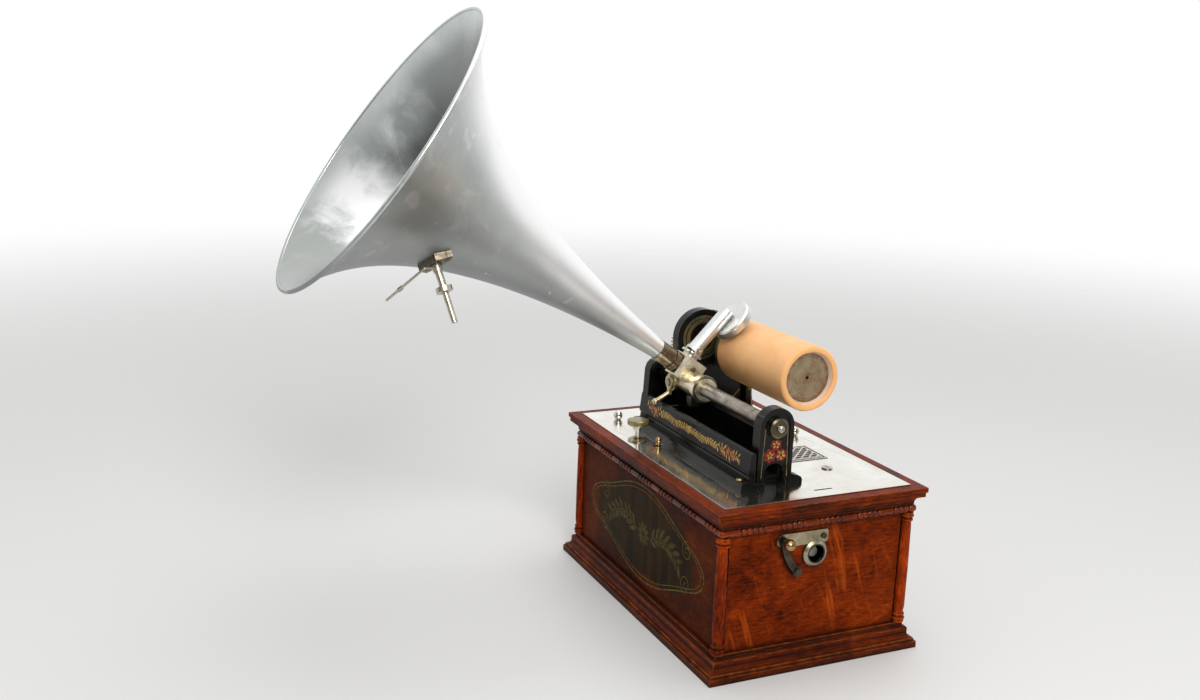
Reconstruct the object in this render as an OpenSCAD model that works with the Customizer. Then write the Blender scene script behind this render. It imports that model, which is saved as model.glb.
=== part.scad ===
// Spring-driven cylinder talking machine with a flaring aluminium horn.
// Origin: centre of the case's underside. +X is the winding end, -Y the front, +Z up.

/* [Case] */
// Length of the case over its panels
case_l = 263; // [260:1:276]
// Width of the case over its panels
case_w = 168; // [166:1:180]
// Height to the top of the cornice
case_h = 136.5; // [132:0.5:150]
// Thickness of the panels
panel_t = 7.5; // [7:0.25:9]
// Square recess for the column at each corner
recess = 6; // [5.5:0.25:6.5]
// Thickness of the bottom board
board_t = 6; // [4:0.5:9]

/* [Mouldings] */
// Overhang of the plinth past the panels
base_out = 11.75; // [11:0.25:14]
// Height of the base moulding
base_h = 20.5; // [19:0.5:24]
// Height of the plinth lip
lip_h = 5.5; // [4:0.5:7]
// Overhang of the cornice past the panels
cornice_out = 10.6; // [10:0.1:13]
// Height of the cornice
cornice_h = 15; // [14:0.5:18]
// Height of the cornice's top fascia
fascia_h = 4; // [3:0.5:5]
// Height of the carved bead strip
bead_h = 6.6; // [6:0.2:8]
// Radius of the carved beads
bead_r = 3.1; // [2.7:0.1:3.2]
// Bead groups along each long side
groups_long = 7; // [5:1:8]
// Bead groups along each short side
groups_short = 5; // [3:1:6]
// Largest radius of a turned column
column_r = 5.7; // [5:0.1:6]
// Radius of the column's shaft
shaft_r = 4.7; // [4:0.1:4.9]

/* [Bedplate] */
// Thickness of the bedplate
plate_t = 3; // [2.5:0.25:4]
// How far the bedplate stands above the cornice
plate_proud = 0.8; // [0.4:0.1:1.5]
// How far the bedplate's edge lies past the panels
plate_out = 0.5; // [0.2:0.1:1]
// Radius of the ball knobs
knob_r = 4.3; // [3:0.1:6]

/* [Bed casting] */
// Left end of the case to the left standard
left_std = 43.5; // [41.5:0.5:45.5]
// Thickness of both standards
std_t = 10; // [8:0.5:11]
// Right end of the case to the right standard
right_std = 31.7; // [29.5:0.2:34.5]
// Radius of the right standard's arch
arch_r = 15.4; // [13:0.2:18]
// Radius of the round gear guard on the left standard
guard_r = 25.7; // [24:0.1:27]
// Width of the guard's rim
guard_rim = 7.7; // [6:0.1:9]
// Front of the case to the front edge of the bed
bed_in = 31; // [28:0.5:32]
// Height of the front rail above the bedplate
rail_h = 29; // [26:0.5:31]
// Height of the rear rail above the bedplate
back_h = 34.5; // [30:0.5:35]
// Thickness of the bed's floor
floor_t = 4; // [3:0.5:5]

/* [Guide tube and feed] */
// Guide tube axis, distance behind the middle
tube_y = -22.6; // [-24:0.2:-21]
// Guide tube axis, height above the bedplate
tube_h = 47.6; // [47:0.2:50]
// Outer radius of the guide tube
tube_r = 5.8; // [5.4:0.1:6.2]
// Radius of the feed screw
screw_r = 3.6; // [3:0.1:3.8]
// Running clearance of shafts and pins
run = 0.05; // [0.02:0.01:0.09]

/* [Mandrel and record] */
// Mandrel axis, distance behind the middle
man_y = 36.8; // [36:0.2:38]
// Mandrel axis, height above the bedplate
man_h = 69.7; // [69:0.2:72]
// Outer radius of the record
rec_r = 27.75; // [27:0.25:28]
// Length of the record
rec_l = 107; // [100:1:110]
// Left standard to the record
rec_gap = 23.7; // [21:0.1:26]
// Bore radius at the record's wide end
bore_wide = 23.4; // [23:0.1:24]
// Bore radius at the record's narrow end
bore_narrow = 20.7; // [20:0.1:21.5]
// How far the mandrel's end lies inside the record
man_inset = 5; // [3:0.5:8]
// Radius of the mandrel shaft
man_shaft_r = 4; // [3.5:0.1:5]
// Outer radius of the mandrel pulley
pulley_r = 24; // [22:0.5:27]
// Left end of the case to the middle of the belt
belt_in = 15; // [14.5:0.5:16.5]
// Width of the belt
belt_w = 5; // [4:0.5:6]
// Thickness of the belt
belt_t = 1.4; // [1:0.1:2]

/* [Carriage and reproducer] */
// Left standard to the middle of the carriage
car_gap = 34; // [32:0.5:36]
// Length of the sleeve to the left of the middle
sleeve_l = 21; // [18:0.5:23]
// Length of the sleeve to the right of the middle
sleeve_rt = 30; // [27:0.5:33]
// Outer radius of the sleeve
sleeve_r = 10; // [9:0.25:11]
// Width of the carriage block
block_w = 22; // [20:0.5:24]
// Length of the block's horn face
block_l = 21; // [20:0.5:23]
// Horn face above the guide tube's axis
face_h = 22.5; // [21.5:0.25:24]
// Elevation of the reproducer tube
rep_el = 46; // [44:0.5:47]
// Radius of the reproducer tube
rep_tube_r = 6.2; // [5.8:0.1:6.6]
// Radius of the reproducer
rep_r = 19; // [17:0.5:20]
// Thickness of the reproducer
rep_t = 7; // [6.5:0.25:7.5]
// Distance from the reproducer's pivot to its middle
rep_reach = 41.6; // [40:0.4:43]

/* [Horn] */
// Elevation of the horn
horn_el = 35.3; // [35:0.1:36]
// Swing of the horn towards the left end
horn_yaw = 3; // [2:0.5:4]
// Length of the horn
horn_l = 294; // [280:1:310]
// Radius of the bell
bell_r = 129; // [120:1:132]
// Radius of the neck
neck_r = 8.4; // [8:0.1:9]
// Wall of the horn
horn_wall = 0.9; // [0.7:0.1:1.2]
// Radius of the rolled lip
lip_r = 1.8; // [1.5:0.1:2.2]
// Length of the ferrule between the carriage and the horn
ferrule_l = 22; // [19:0.5:24]
// Depth of the spigot inside the neck
spigot_l = 14; // [10:0.5:16]
// Place of the bracket along the horn, from neck to bell
bracket_at = 0.735; // [0.72:0.005:0.75]
// Swing of the bracket round the horn, from underneath
bracket_turn = 36; // [30:1:42]
// Length of the bracket post
post_l = 49; // [40:1:56]
// Radius of the post's free end
pin_r = 2.4; // [2:0.1:2.8]

/* [Controls] */
// Speed screw, place along the case
speed_x = -41.3; // [-44:0.2:-38]
// Gap between the speed screw's bush and the front panel
speed_gap = 0.6; // [0.4:0.1:3]
// Radius of the speed screw's knob
speed_knob_r = 9; // [8:0.25:9.5]
// Stop lever's ball, place along the case
stop_x = -22.2; // [-24:0.2:-20]
// Front of the case to the stop lever's ball
stop_in = 22; // [21.5:0.1:22.5]
// Winding arbor, place across the case
wind_y = -2; // [-4:0.5:0]
// Winding arbor, depth below the top of the case
wind_drop = 45; // [43:0.5:46]
// Outer radius of the winding bushing
bush_r = 10.8; // [10:0.2:12]
// Radius of the winding arbor's end, which takes the crank
crank_r = 4; // [3.5:0.1:4.4]
// Length of that end
crank_l = 14; // [10:0.5:20]

/* [Motor] */
// Left end of the case to the left motor plate
motor_in = 37.5; // [36.5:0.5:41.5]
// Right end of the case to the right motor plate
motor_end = 65.5; // [63.5:1:69.5]
// Thickness of the motor plates
motor_t = 3; // [2:0.5:4]
// Length of the spring barrel
barrel_l = 44; // [36:1:46]
// Radius of the motor's arbors
arbor_r = 3; // [2.5:0.1:3.5]

/* [Hidden] */
$fn = 64;

// Colours of the materials
c_oak = [0.42, 0.13, 0.06];
c_dark = [0.27, 0.10, 0.06];
c_black = [0.07, 0.07, 0.07];
c_nickel = [0.72, 0.70, 0.64];
c_plate = [0.85, 0.84, 0.80];
c_brass = [0.70, 0.52, 0.28];
c_steel = [0.45, 0.44, 0.42];
c_alu = [0.78, 0.79, 0.80];
c_wax = [0.80, 0.55, 0.36];
c_leather = [0.25, 0.17, 0.11];
c_ferrule = [0.42, 0.33, 0.20];

// Heights and places that follow from the sizes
half_l = case_l / 2;
half_w = case_w / 2;
bed_z = case_h + plate_proud;
plate_bot = bed_z - plate_t;
throat_z = case_h - cornice_h;
bead_z = throat_z - bead_h;
tube_z = bed_z + tube_h;
man_z = bed_z + man_h;
left_x = -half_l + left_std;
right_x = half_l - right_std;
left_in = left_x + std_t;
right_in = right_x - std_t;
bed_front = -half_w + bed_in;
rec_x = left_in + rec_gap;
car_x = left_in + car_gap;
belt_x = -half_l + belt_in;
stop_y = -half_w + stop_in;
motor_l = -half_l + motor_in;
motor_r = half_l - motor_end;
wind_z = case_h - wind_drop;
clear = 0.3;
seat = 0.02;

module yz(x, h) { translate([x, 0, 0]) rotate([90, 0, 90]) linear_extrude(h) children(); }
module xcyl(x, y, z, r, h) { translate([x, y, z]) rotate([0, 90, 0]) cylinder(r = r, h = h); }
module xcone(x, y, z, r1, r2, h) {
  translate([x, y, z]) rotate([0, 90, 0]) cylinder(r1 = r1, r2 = r2, h = h);
}

// Involute gears, 25 degree pressure angle, flanks thinned for backlash
pa = 25;
slack = 0.16;
gear_m = 1;
barrel_z = 72;
pinion_z = 12;
wheel_z = 60;
gov_z = 24;
function inv(a) = tan(a) * 180 / PI - a;
function gear_r(z) = gear_m * z / 2;
function flank_pt(z, r, side) = let (rb = gear_r(z) * cos(pa), a = acos(min(1, rb / max(r, rb))),
  half = 90 / z + inv(pa) - slack / gear_r(z) * 90 / PI - inv(a)) [r * cos(side * half), r * sin(side * half)];
function turn(p, a) = [p[0] * cos(a) - p[1] * sin(a), p[0] * sin(a) + p[1] * cos(a)];
module gear_2d(z, phase) {
  rb = gear_r(z) * cos(pa);
  ro = gear_r(z) + 0.95 * gear_m;
  rr = gear_r(z) - 1.25 * gear_m;
  lo = max(rb, rr + 0.15);
  steps = 4;
  polygon([for (i = [0 : z - 1]) let (t = phase + i * 360 / z) each concat(
    [turn(flank_pt(z, lo, -1) * (rr / lo), t)],
    [for (k = [0 : steps]) turn(flank_pt(z, lo + (ro - lo) * k / steps, -1), t)],
    [for (k = [steps : -1 : 0]) turn(flank_pt(z, lo + (ro - lo) * k / steps, 1), t)],
    [turn(flank_pt(z, lo, 1) * (rr / lo), t)])]);
}
// Phase of gear b that meshes with gear a across the line at angle psi
function mesh_phase(za, pha, zb, psi) = psi + 180 + 180 / zb + (psi - pha) * za / zb;
function dist(a, b) = norm(a - b);
function angle_to(a, b) = atan2(b[1] - a[1], b[0] - a[0]);
// Point at distance ra from a and rb from b, on the side given
function apex(a, b, ra, rb, side) = let (d = dist(a, b), u = (b - a) / d,
  k = (ra * ra - rb * rb + d * d) / (2 * d), h = sqrt(max(0, ra * ra - k * k)))
  a + u * k + [-u[1], u[0]] * h * side;

// Feed train between the mandrel and the feed screw
feed_z = 32;
idle_z = 36;
man_c = [man_y, man_z];
tube_c = [tube_y, tube_z];
idle_c = apex(man_c, tube_c, gear_r(feed_z + idle_z), gear_r(feed_z + idle_z), -1);
man_gear_ph = angle_to(man_c, idle_c);
idle_ph = mesh_phase(feed_z, man_gear_ph, idle_z, angle_to(man_c, idle_c));
feed_ph = mesh_phase(idle_z, idle_ph, feed_z, angle_to(idle_c, tube_c));
gear_t = 5;
gear_x = left_x - 2 - gear_t;

// Motor train below the bedplate
wind_c = [wind_y, wind_z];
drive_drop = 77.3;
drive_c = [man_y, bed_z - drive_drop];
second_c = apex(wind_c, drive_c, gear_r(barrel_z + pinion_z), gear_r(wheel_z + pinion_z), -1);
gov_c = drive_c + gear_r(wheel_z + gov_z) * [cos(80), sin(80)];
barrel_ph = 0;
second_ph = mesh_phase(barrel_z, barrel_ph, pinion_z, angle_to(wind_c, second_c));
drive_ph = mesh_phase(wheel_z, second_ph, pinion_z, angle_to(second_c, drive_c));
gov_ph = mesh_phase(wheel_z, drive_ph, gov_z, angle_to(drive_c, gov_c));
barrel_x = motor_r - 74;
wheel_x = barrel_x - 17;
gov_x = motor_l + 14;

// Flat-belt pulleys: the driving one turns twice for each turn of the mandrel
pulley_t = belt_w + 4;
flange_h = 2;
groove_r = pulley_r - flange_h;
drive_groove = (groove_r + belt_t / 2) / 2 - belt_t / 2;
belt_lift = 0.12;

// Profiles: x runs outwards from the panel's face, y runs up
module base_profile() {
  top = base_h - 3.2;
  difference() {
    union() {
      square([base_out, lip_h]);
      square([base_out - 1.4, lip_h + 1.6]);
      square([base_out - 1.8, top - 5.4]);
      square([6, top - 1.6]);
      translate([3.4, top - 2.6]) circle(r = 2.6);
      square([3.4, top]);
      square([3, base_h]);
    }
    translate([base_out - 1.8, top - 5.4]) circle(r = base_out - 7.8);
  }
}
module cornice_profile() {
  translate([0, throat_z]) difference() {
    union() {
      square([3.4, cornice_h]);
      translate([0, 1]) square([cornice_out - 1.2, cornice_h - fascia_h - 1]);
      translate([0, cornice_h - fascia_h]) square([cornice_out, fascia_h]);
    }
    translate([cornice_out - 1.2, 1]) circle(r = cornice_out - 4.6);
    translate([-1, plate_bot - throat_z]) square([1 + plate_out + 0.1, cornice_h]);
  }
}
// One mitred length along the front, then turned to all four sides
module side_strip(hl, hw) {
  intersection() {
    translate([0, -hw, 0]) yz(-hl - 30, 2 * hl + 60) mirror([1, 0]) children();
    translate([0, 0, -1]) linear_extrude(case_h + 20)
      polygon([[-hl, -hw], [hl, -hw], [hl + 30, -hw - 30], [-hl - 30, -hw - 30]]);
  }
}
module four_sides() {
  for (s = [0, 180]) rotate([0, 0, s]) {
    side_strip(half_l, half_w) children();
    rotate([0, 0, 90]) side_strip(half_w, half_l) children();
  }
}

// Case
module bottom_board() {
  color(c_dark) translate([-half_l + panel_t, -half_w + panel_t, 0])
    cube([case_l - 2 * panel_t, case_w - 2 * panel_t, board_t]);
}
module long_panel() {
  translate([-half_l + panel_t, -half_w, 0]) cube([case_l - 2 * panel_t, panel_t, plate_bot]);
  translate([-half_l + recess, -half_w, 0]) cube([case_l - 2 * recess, recess, plate_bot]);
  translate([-half_l, -half_w, 0]) cube([case_l, recess, base_h]);
  translate([-half_l, -half_w, bead_z]) cube([case_l, recess, plate_bot - bead_z]);
}
module end_panel() {
  translate([half_l - panel_t, -half_w + recess, 0]) cube([panel_t, case_w - 2 * recess, plate_bot]);
}
module front_panel() { color(c_oak) long_panel(); }
module back_panel() { color(c_oak) rotate([0, 0, 180]) long_panel(); }
module left_panel() { color(c_oak) rotate([0, 0, 180]) end_panel(); }
module right_panel() {
  color(c_oak) difference() {
    end_panel();
    xcyl(half_l - panel_t - 1, wind_y, wind_z, bush_r - 2.4 + seat, panel_t + 2);
    for (p = plate_screws) xcyl(half_l - panel_t + 1, p[0], p[1], catch_screw_r + seat, panel_t);
    xcyl(half_l - panel_t + 1, catch_y, catch_z, catch_screw_r + seat, panel_t);
  }
}
module base_moulding() { color(c_oak) four_sides() base_profile(); }
module cornice_moulding() { color(c_oak) four_sides() cornice_profile(); }

// Bead-and-billet rod: groups of short beads between long billets
bead_back = 2.6;
module bead_rod(len, groups) {
  pitch = len / groups;
  step = pitch * 0.56 / 4;
  bar = pitch - 4 * step;
  rotate_extrude() intersection() {
    translate([0, -1]) square([bead_r + 1, len + 2]);
    union() {
      for (g = [0 : groups - 1]) translate([0, g * pitch]) {
        translate([0, bead_r * 0.5]) square([bead_r - 0.35, bar - bead_r]);
        for (e = [bead_r * 0.8, bar - bead_r * 0.8]) translate([0, e]) circle(r = bead_r - 0.35);
        for (i = [0 : 3]) translate([0, bar + step * (i + 0.5)]) circle(r = bead_r);
      }
      square([bead_r * 0.55, len]);
    }
  }
}
module bead_side(hl, hw, groups) {
  side_strip(hl, hw) translate([0, bead_z]) square([bead_back, bead_h]);
  difference() {
    translate([-hl - bead_back, -hw - bead_back, bead_z + bead_h / 2]) rotate([0, 90, 0])
      bead_rod(2 * (hl + bead_back), groups);
    translate([-hl - 20, -hw - 0.5, bead_z - 5]) cube([2 * hl + 40, 20, bead_h + 10]);
  }
}
module bead_moulding() {
  color(c_oak) difference() {
    union() {
      for (s = [0, 180]) rotate([0, 0, s]) {
        bead_side(half_l, half_w, groups_long);
        rotate([0, 0, 90]) bead_side(half_w, half_l, groups_short);
      }
      for (x = [-1, 1], y = [-1, 1])
        translate([x * (half_l + bead_back), y * (half_w + bead_back), bead_z + bead_h / 2])
          sphere(r = bead_r);
    }
    translate([-half_l, -half_w, bead_z - 5]) cube([case_l, case_w, bead_h + 10]);
  }
}

// Turned columns with paired rings at both ends
column_c = recess - column_r - 0.2;
module column() {
  h = bead_z - base_h;
  translate([0, 0, base_h]) rotate_extrude() union() {
    square([column_r - 0.6, 2]);
    translate([0, h - 2]) square([column_r - 0.6, 2]);
    for (z = [3.2, h - 3.2]) { square_ring(z, column_r, 1.3); }
    for (z = [6.6, h - 6.6]) { square_ring(z, column_r - 0.5, 1.1); }
    polygon([[0, 1], [column_r - 1.6, 1], [column_r - 1.6, 9], [shaft_r, 13], [shaft_r, h * 0.5],
      [shaft_r - 0.5, h - 13], [column_r - 1.8, h - 9], [column_r - 1.8, h - 1], [0, h - 1]]);
  }
}
module square_ring(z, r, b) {
  translate([0, z - b]) square([r - b, 2 * b]);
  translate([r - b, z]) circle(r = b, $fn = 32);
}
module corner_columns() {
  color(c_oak) for (x = [-1, 1], y = [-1, 1])
    translate([x * (half_l - column_c), y * (half_w - column_c), 0]) column();
}

// Winding end
catch_y = wind_y - 17;
catch_z = wind_z - 12;
catch_screw_r = 1.6;
bar_l = 46;
bar_h = 10.4;
bar_t = 1.6;
bar_y0 = wind_y - 35.5;
bar_z0 = bead_z - 4.5 - bar_h;
plate_screws = [[bar_y0 + 3.2, bar_z0 + bar_h - 3.4], [bar_y0 + bar_l - 4, bar_z0 + bar_h / 2]];
module key_bushing() {
  color(c_nickel) difference() {
    union() {
      xcyl(half_l - panel_t, wind_y, wind_z, bush_r - 2.4, panel_t + 0.5);
      xcyl(half_l, wind_y, wind_z, bush_r, 1.6);
      xcone(half_l + 1.6, wind_y, wind_z, bush_r, bush_r - 1.8, 1.4);
    }
    xcyl(half_l - panel_t - 1, wind_y, wind_z, bush_r - 4, panel_t + 6);
  }
}
module catch_plate() {
  color(c_nickel) difference() {
    yz(half_l, bar_t) difference() {
      union() {
        translate([bar_y0 + bar_h / 2, bar_z0]) square([bar_l - bar_h / 2 - 2, bar_h]);
        translate([bar_y0 + bar_l - 4, bar_z0 + 2]) square([4, bar_h - 4]);
        translate([bar_y0 + bar_l - 2, bar_z0 + 2]) circle(r = 2);
        translate([bar_y0 + bar_l - 2, bar_z0 + bar_h - 2]) circle(r = 2);
        translate([bar_y0 + bar_h / 2, bar_z0 + bar_h / 2]) circle(r = bar_h / 2);
      }
      translate([wind_y, wind_z]) circle(r = bush_r + clear);
    }
    for (p = plate_screws) xcyl(half_l - 1, p[0], p[1], catch_screw_r + seat, bar_t + 2);
  }
}
module catch_screws() {
  color(c_steel) {
    for (p = plate_screws) {
      xcyl(half_l - panel_t + 1, p[0], p[1], catch_screw_r, panel_t - 1 + bar_t);
      xcyl(half_l + bar_t, p[0], p[1], 2.4, 0.9);
    }
    xcyl(half_l - panel_t + 1, catch_y, catch_z, catch_screw_r, panel_t - 1 + catch_gap + catch_t + run);
    xcyl(half_l + catch_gap + catch_t + run, catch_y, catch_z, 2.9, 1.2);
  }
}
// Curved catch arm, swinging on its lower screw in front of the bar
catch_t = 1.6;
catch_gap = bar_t + 0.9 + 0.2;
knob_c = [bar_y0 + 5.6, bar_z0 + bar_h * 0.5];
module crank_catch() {
  sweep_r = 40;
  top = knob_c;
  low = [catch_y, catch_z];
  mid_c = apex(top, low, sweep_r, sweep_r, 1);
  color(c_black) difference() {
    union() {
      yz(half_l + catch_gap, catch_t) union() {
        intersection() {
          difference() {
            translate(mid_c) circle(r = sweep_r + 2.6);
            translate(mid_c) circle(r = sweep_r - 2.6);
          }
          polygon([mid_c, mid_c + (top - mid_c) * 2, mid_c + (low - mid_c) * 2]);
        }
        translate(low) circle(r = 3.9);
        translate(top) circle(r = 3.4);
      }
      xcyl(half_l + seat, catch_y, catch_z, 3.9, catch_gap);
    }
    xcyl(half_l - 1, catch_y, catch_z, catch_screw_r + run, 20);
  }
}
module catch_knob() {
  color(c_brass) {
    xcyl(half_l + catch_gap + catch_t, knob_c[0], knob_c[1], 2, 3);
    translate([half_l + catch_gap + catch_t + 6, knob_c[0], knob_c[1]]) sphere(r = 4.75);
  }
}

// Bedplate and what stands on it
plate_l = case_l + 2 * plate_out;
plate_w = case_w + 2 * plate_out;
knob_at = [[-half_l + 27.1, -half_w + 22.5], [-10.8, half_w - 16.5]];
hang_at = [[motor_l - motor_t - 8, -34], [motor_l - motor_t - 8, 43.2], [motor_r + motor_t + 7.4, 43.2]];
module bedplate() {
  color(c_plate) difference() {
    translate([-plate_l / 2, -plate_w / 2, plate_bot]) cube([plate_l, plate_w, plate_t]);
    for (s = [-1, 1]) translate([belt_x - belt_w / 2 - 1.5, man_y + s * belt_gap - 6, plate_bot - 1])
      cube([belt_w + 3, 12, plate_t + 2]);
    translate([half_l - 13.5, wind_y + 4.5, plate_bot - 1]) cube([2, 16, plate_t + 2]);
    translate([speed_x, speed_y, plate_bot - 1]) cylinder(r = speed_bush_r + seat, h = plate_t + 2);
    translate([stop_x, stop_y, plate_bot - 1]) stop_slot();
    for (k = knob_at) translate([k[0], k[1], plate_bot - 1]) cylinder(r = 2 + seat, h = plate_t + 2);
    for (p = hang_at) translate([p[0], p[1], plate_bot - 1]) cylinder(r = 2.2 + seat, h = plate_t + 2);
    for (p = bed_screw_at) translate([p[0], p[1], plate_bot - 1]) cylinder(r = 1.8 + seat, h = plate_t + 2);
  }
}
// Half the span of the two belt runs where they pass the bedplate
belt_gap = drive_groove + (groove_r - drive_groove) * drive_drop / (drive_drop + man_h);
module stop_slot() {
  for (s = [-1, 1]) translate([0, s * stop_throw, 0]) cylinder(r = 1.8, h = plate_t + 2);
  translate([-1.8, -stop_throw, 0]) cube([3.6, 2 * stop_throw, plate_t + 2]);
}
stop_throw = 3.4;
module bedplate_knobs() {
  color(c_nickel) for (k = knob_at) translate([k[0], k[1], 0]) {
    translate([0, 0, plate_bot - 6]) cylinder(r = 2, h = plate_t + 7);
    translate([0, 0, bed_z]) cylinder(r = knob_r * 0.62, h = 1);
    translate([0, 0, bed_z + knob_r * 0.94]) sphere(r = knob_r);
  }
}
module bedplate_screws() {
  color(c_nickel) for (p = hang_at) translate([p[0], p[1], 0]) difference() {
    union() {
      translate([0, 0, plate_bot - motor_t - 3]) cylinder(r = 2.2, h = plate_t + motor_t + 3.2);
      translate([0, 0, bed_z]) cylinder(r = 4.6, h = 1);
    }
    translate([-5, -0.5, bed_z + 0.5]) cube([10, 1, 2]);
  }
}
module data_plate() {
  color(c_brass) translate([right_in - 70.8, man_y - 12.8, bed_z]) cube([35, 35, 0.6]);
}

// Bed casting: floor, moulded front with its rail, and the two standards
bed_right = right_x + 1.8;
bed_left = left_x - 2;
bed_screw_at = [[right_x - 6, bed_front + 3.2], [left_x + 14, bed_front + 3.2], [left_in + 8, man_y + 8]];
module floor_2d() {
  polygon([[bed_left, bed_front], [bed_right, bed_front], [bed_right, tube_y + 10], [right_in - 2, tube_y + 10],
    [right_in - 2, tube_y + 26], [0, tube_y + 30], [left_in + 14, man_y - 4], [left_in + 4, man_y + 18],
    [left_in + 4, man_y + 29], [bed_left, man_y + 29]]);
}
ledge_h = 6;
module rail_2d() {
  f = bed_front;
  polygon([[f, 0], [f, ledge_h - 1.2], [f + 0.9, ledge_h], [f + 6.6, ledge_h], [f + 7, ledge_h + 4], [f + 5.6, 12.2],
    [f + 7.4, rail_h - 2], [f + 8.2, rail_h - 0.4], [f + 10.4, rail_h], [f + 12, rail_h - 1.4],
    [f + 12, floor_t], [f + 12, 0]]);
}
// The left standard carries a round guard that hides the feed train
guard_c = [idle_c[0] + 5.2, idle_c[1] - bed_z + 8];
module left_std_2d() {
  y0 = bed_front + 6.6;
  polygon([[y0 - 3.6, 0], [y0 - 1, 5], [y0, 14], [y0 + 1.8, tube_h + 3.5], [y0 + 3.6, tube_h + 8.6],
    [y0 + 7, tube_h + 11.6], [tube_y + 8, tube_h + 14], [guard_c[0] - 18, guard_c[1]], [man_y, man_h],
    [man_y + 22, man_h], [man_y + 26, 20], [man_y + 29, 0]]);
  translate([man_y, man_h]) circle(r = 22);
  translate(guard_c) circle(r = guard_r);
}
// Turned ring in the dish of the guard
module guard_dish_2d() {
  difference() {
    circle(r = guard_r - guard_rim);
    difference() { circle(r = guard_r - guard_rim - 1.2); circle(r = guard_r - guard_rim - 4.4); }
  }
}
module left_recess_2d() {
  y0 = bed_front + 13;
  difference() {
    polygon([[y0, 12], [y0 + 0.6, tube_h + 3], [y0 + 3, tube_h + 5.4], [tube_y + 10, tube_h + 6.4],
      [man_y - 18, man_h - 8], [man_y + 18, man_h - 8], [man_y + 20, 12]]);
    translate([tube_y, tube_h]) circle(r = 11);
    translate([man_y, man_h]) circle(r = 17);
    translate(guard_c) circle(r = guard_r + 1.5);
  }
}
module right_std_2d() {
  difference() {
    union() {
      translate([tube_y, tube_h]) circle(r = arch_r);
      translate([tube_y - arch_r, 0]) square([2 * arch_r, tube_h]);
    }
    translate([tube_y - 9.3, -1]) square([18.6, 10]);
    translate([tube_y, 9]) circle(r = 9.3);
  }
}
// Rear rail of the trough, and the lug behind the right standard
module back_rail_2d() {
  b = tube_y + arch_r - 6;
  polygon([[b - 1, 0], [b, back_h - 1.6], [b + 1, back_h], [b + 3, back_h], [b + 4, back_h - 1.6], [b + 5, 0]]);
}
module lug_2d() {
  e = tube_y + arch_r;
  polygon([[e - 3, 0], [e - 3, 12], [e - 0.4, 9.4], [e + 2.6, 7.4], [e + 7.4, 6.2], [e + 10, 4.6], [e + 11, 2.6], [e + 11, 0]]);
}
module bed_casting() {
  color(c_black) translate([0, 0, bed_z]) difference() {
    union() {
      linear_extrude(floor_t) floor_2d();
      yz(bed_left, bed_right - bed_left) rail_2d();
      difference() {
        yz(left_x, std_t) left_std_2d();
        yz(left_x + std_t * 0.45, std_t) left_recess_2d();
        yz(left_in - 2.4, std_t) translate(guard_c) guard_dish_2d();
      }
      difference() {
        yz(right_in, std_t) right_std_2d();
        yz(right_x - 1, 2) {
          translate([tube_y, tube_h]) circle(r = arch_r - 3.2);
          translate([tube_y - arch_r + 3.2, ledge_h]) square([2 * arch_r - 6.4, tube_h - ledge_h]);
        }
      }
      yz(right_x - 1, 1 + 0.4) translate([tube_y, tube_h]) circle(r = 9);
      xcyl(left_in - 1, man_y, man_h, 13, 6);
      yz(left_in - 1, right_in - left_in + 2) back_rail_2d();
      yz(right_x - 8, 7.4) lug_2d();
    }
    xcyl(left_x - 5, tube_y, tube_h, screw_journal + run, 300);
    xcyl(left_in - 6, tube_y, tube_h, tube_r + seat, right_in + 6 - left_in + 6);
    xcyl(left_x - 5, man_y, man_h, man_shaft_r + run, std_t + 20);
    xcyl(left_x - 1, idle_c[0], idle_c[1] - bed_z, stud_r + seat, std_t * 0.45 + 1);
    translate([right_in - 1, tube_y - 9.3, -1]) cube([20, 18.6, floor_t + 2]);
    for (p = bed_screw_at) translate([p[0], p[1], -1]) cylinder(r = 1.8 + seat, h = 40);
  }
}
module bed_screws() {
  color(c_brass) for (i = [0 : 2]) translate([bed_screw_at[i][0], bed_screw_at[i][1], bed_z]) {
    top = i < 2 ? ledge_h : floor_t;
    translate([0, 0, -plate_t - 2]) cylinder(r = 1.8, h = plate_t + 2 + top);
    translate([0, 0, top]) cylinder(r = 3, h = 0.6);
    translate([0, 0, top + 0.6]) cylinder(r1 = 3, r2 = 1.8, h = 0.8);
  }
}

// Guide tube with the feed screw inside; a slot underneath lets the half nut in
screw_journal = 2.4;
slot_w = 4.4;
module guide_tube() {
  color(c_steel) difference() {
    xcyl(left_in - 6, tube_y, tube_z, tube_r, right_in + 6 - left_in + 6);
    xcyl(left_in - 7, tube_y, tube_z, screw_r + 0.5, right_in + 20 - left_in);
    translate([left_in + 3, tube_y - slot_w / 2, tube_z - tube_r - 1])
      cube([right_in - left_in - 6, slot_w, tube_r + 1]);
  }
}
module tube_nut() {
  color(c_brass) difference() {
    union() {
      xcyl(right_x + 0.4, tube_y, tube_z, 8, 2.6);
      xcone(right_x + 3, tube_y, tube_z, 8, 6.6, 1);
    }
    xcyl(right_x - 1, tube_y, tube_z, 3 + seat, 10);
  }
}
module tube_pivot() {
  color(c_steel) difference() {
    union() {
      xcyl(right_x + 0.4, tube_y, tube_z, 3, 4.4);
      translate([right_x + 4.8, tube_y, tube_z]) sphere(r = 3);
    }
    xcyl(right_x - 5, tube_y, tube_z, screw_journal + run, 7.2);
  }
}
module feed_screw() {
  color(c_steel) {
    xcyl(left_in - 5, tube_y, tube_z, screw_r, right_in + 10 - left_in);
    xcyl(gear_x - 2, tube_y, tube_z, screw_journal, left_in - 4 - gear_x + 2);
    xcyl(right_in + 4, tube_y, tube_z, screw_journal, right_x + 2 - right_in - 4);
  }
}
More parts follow.
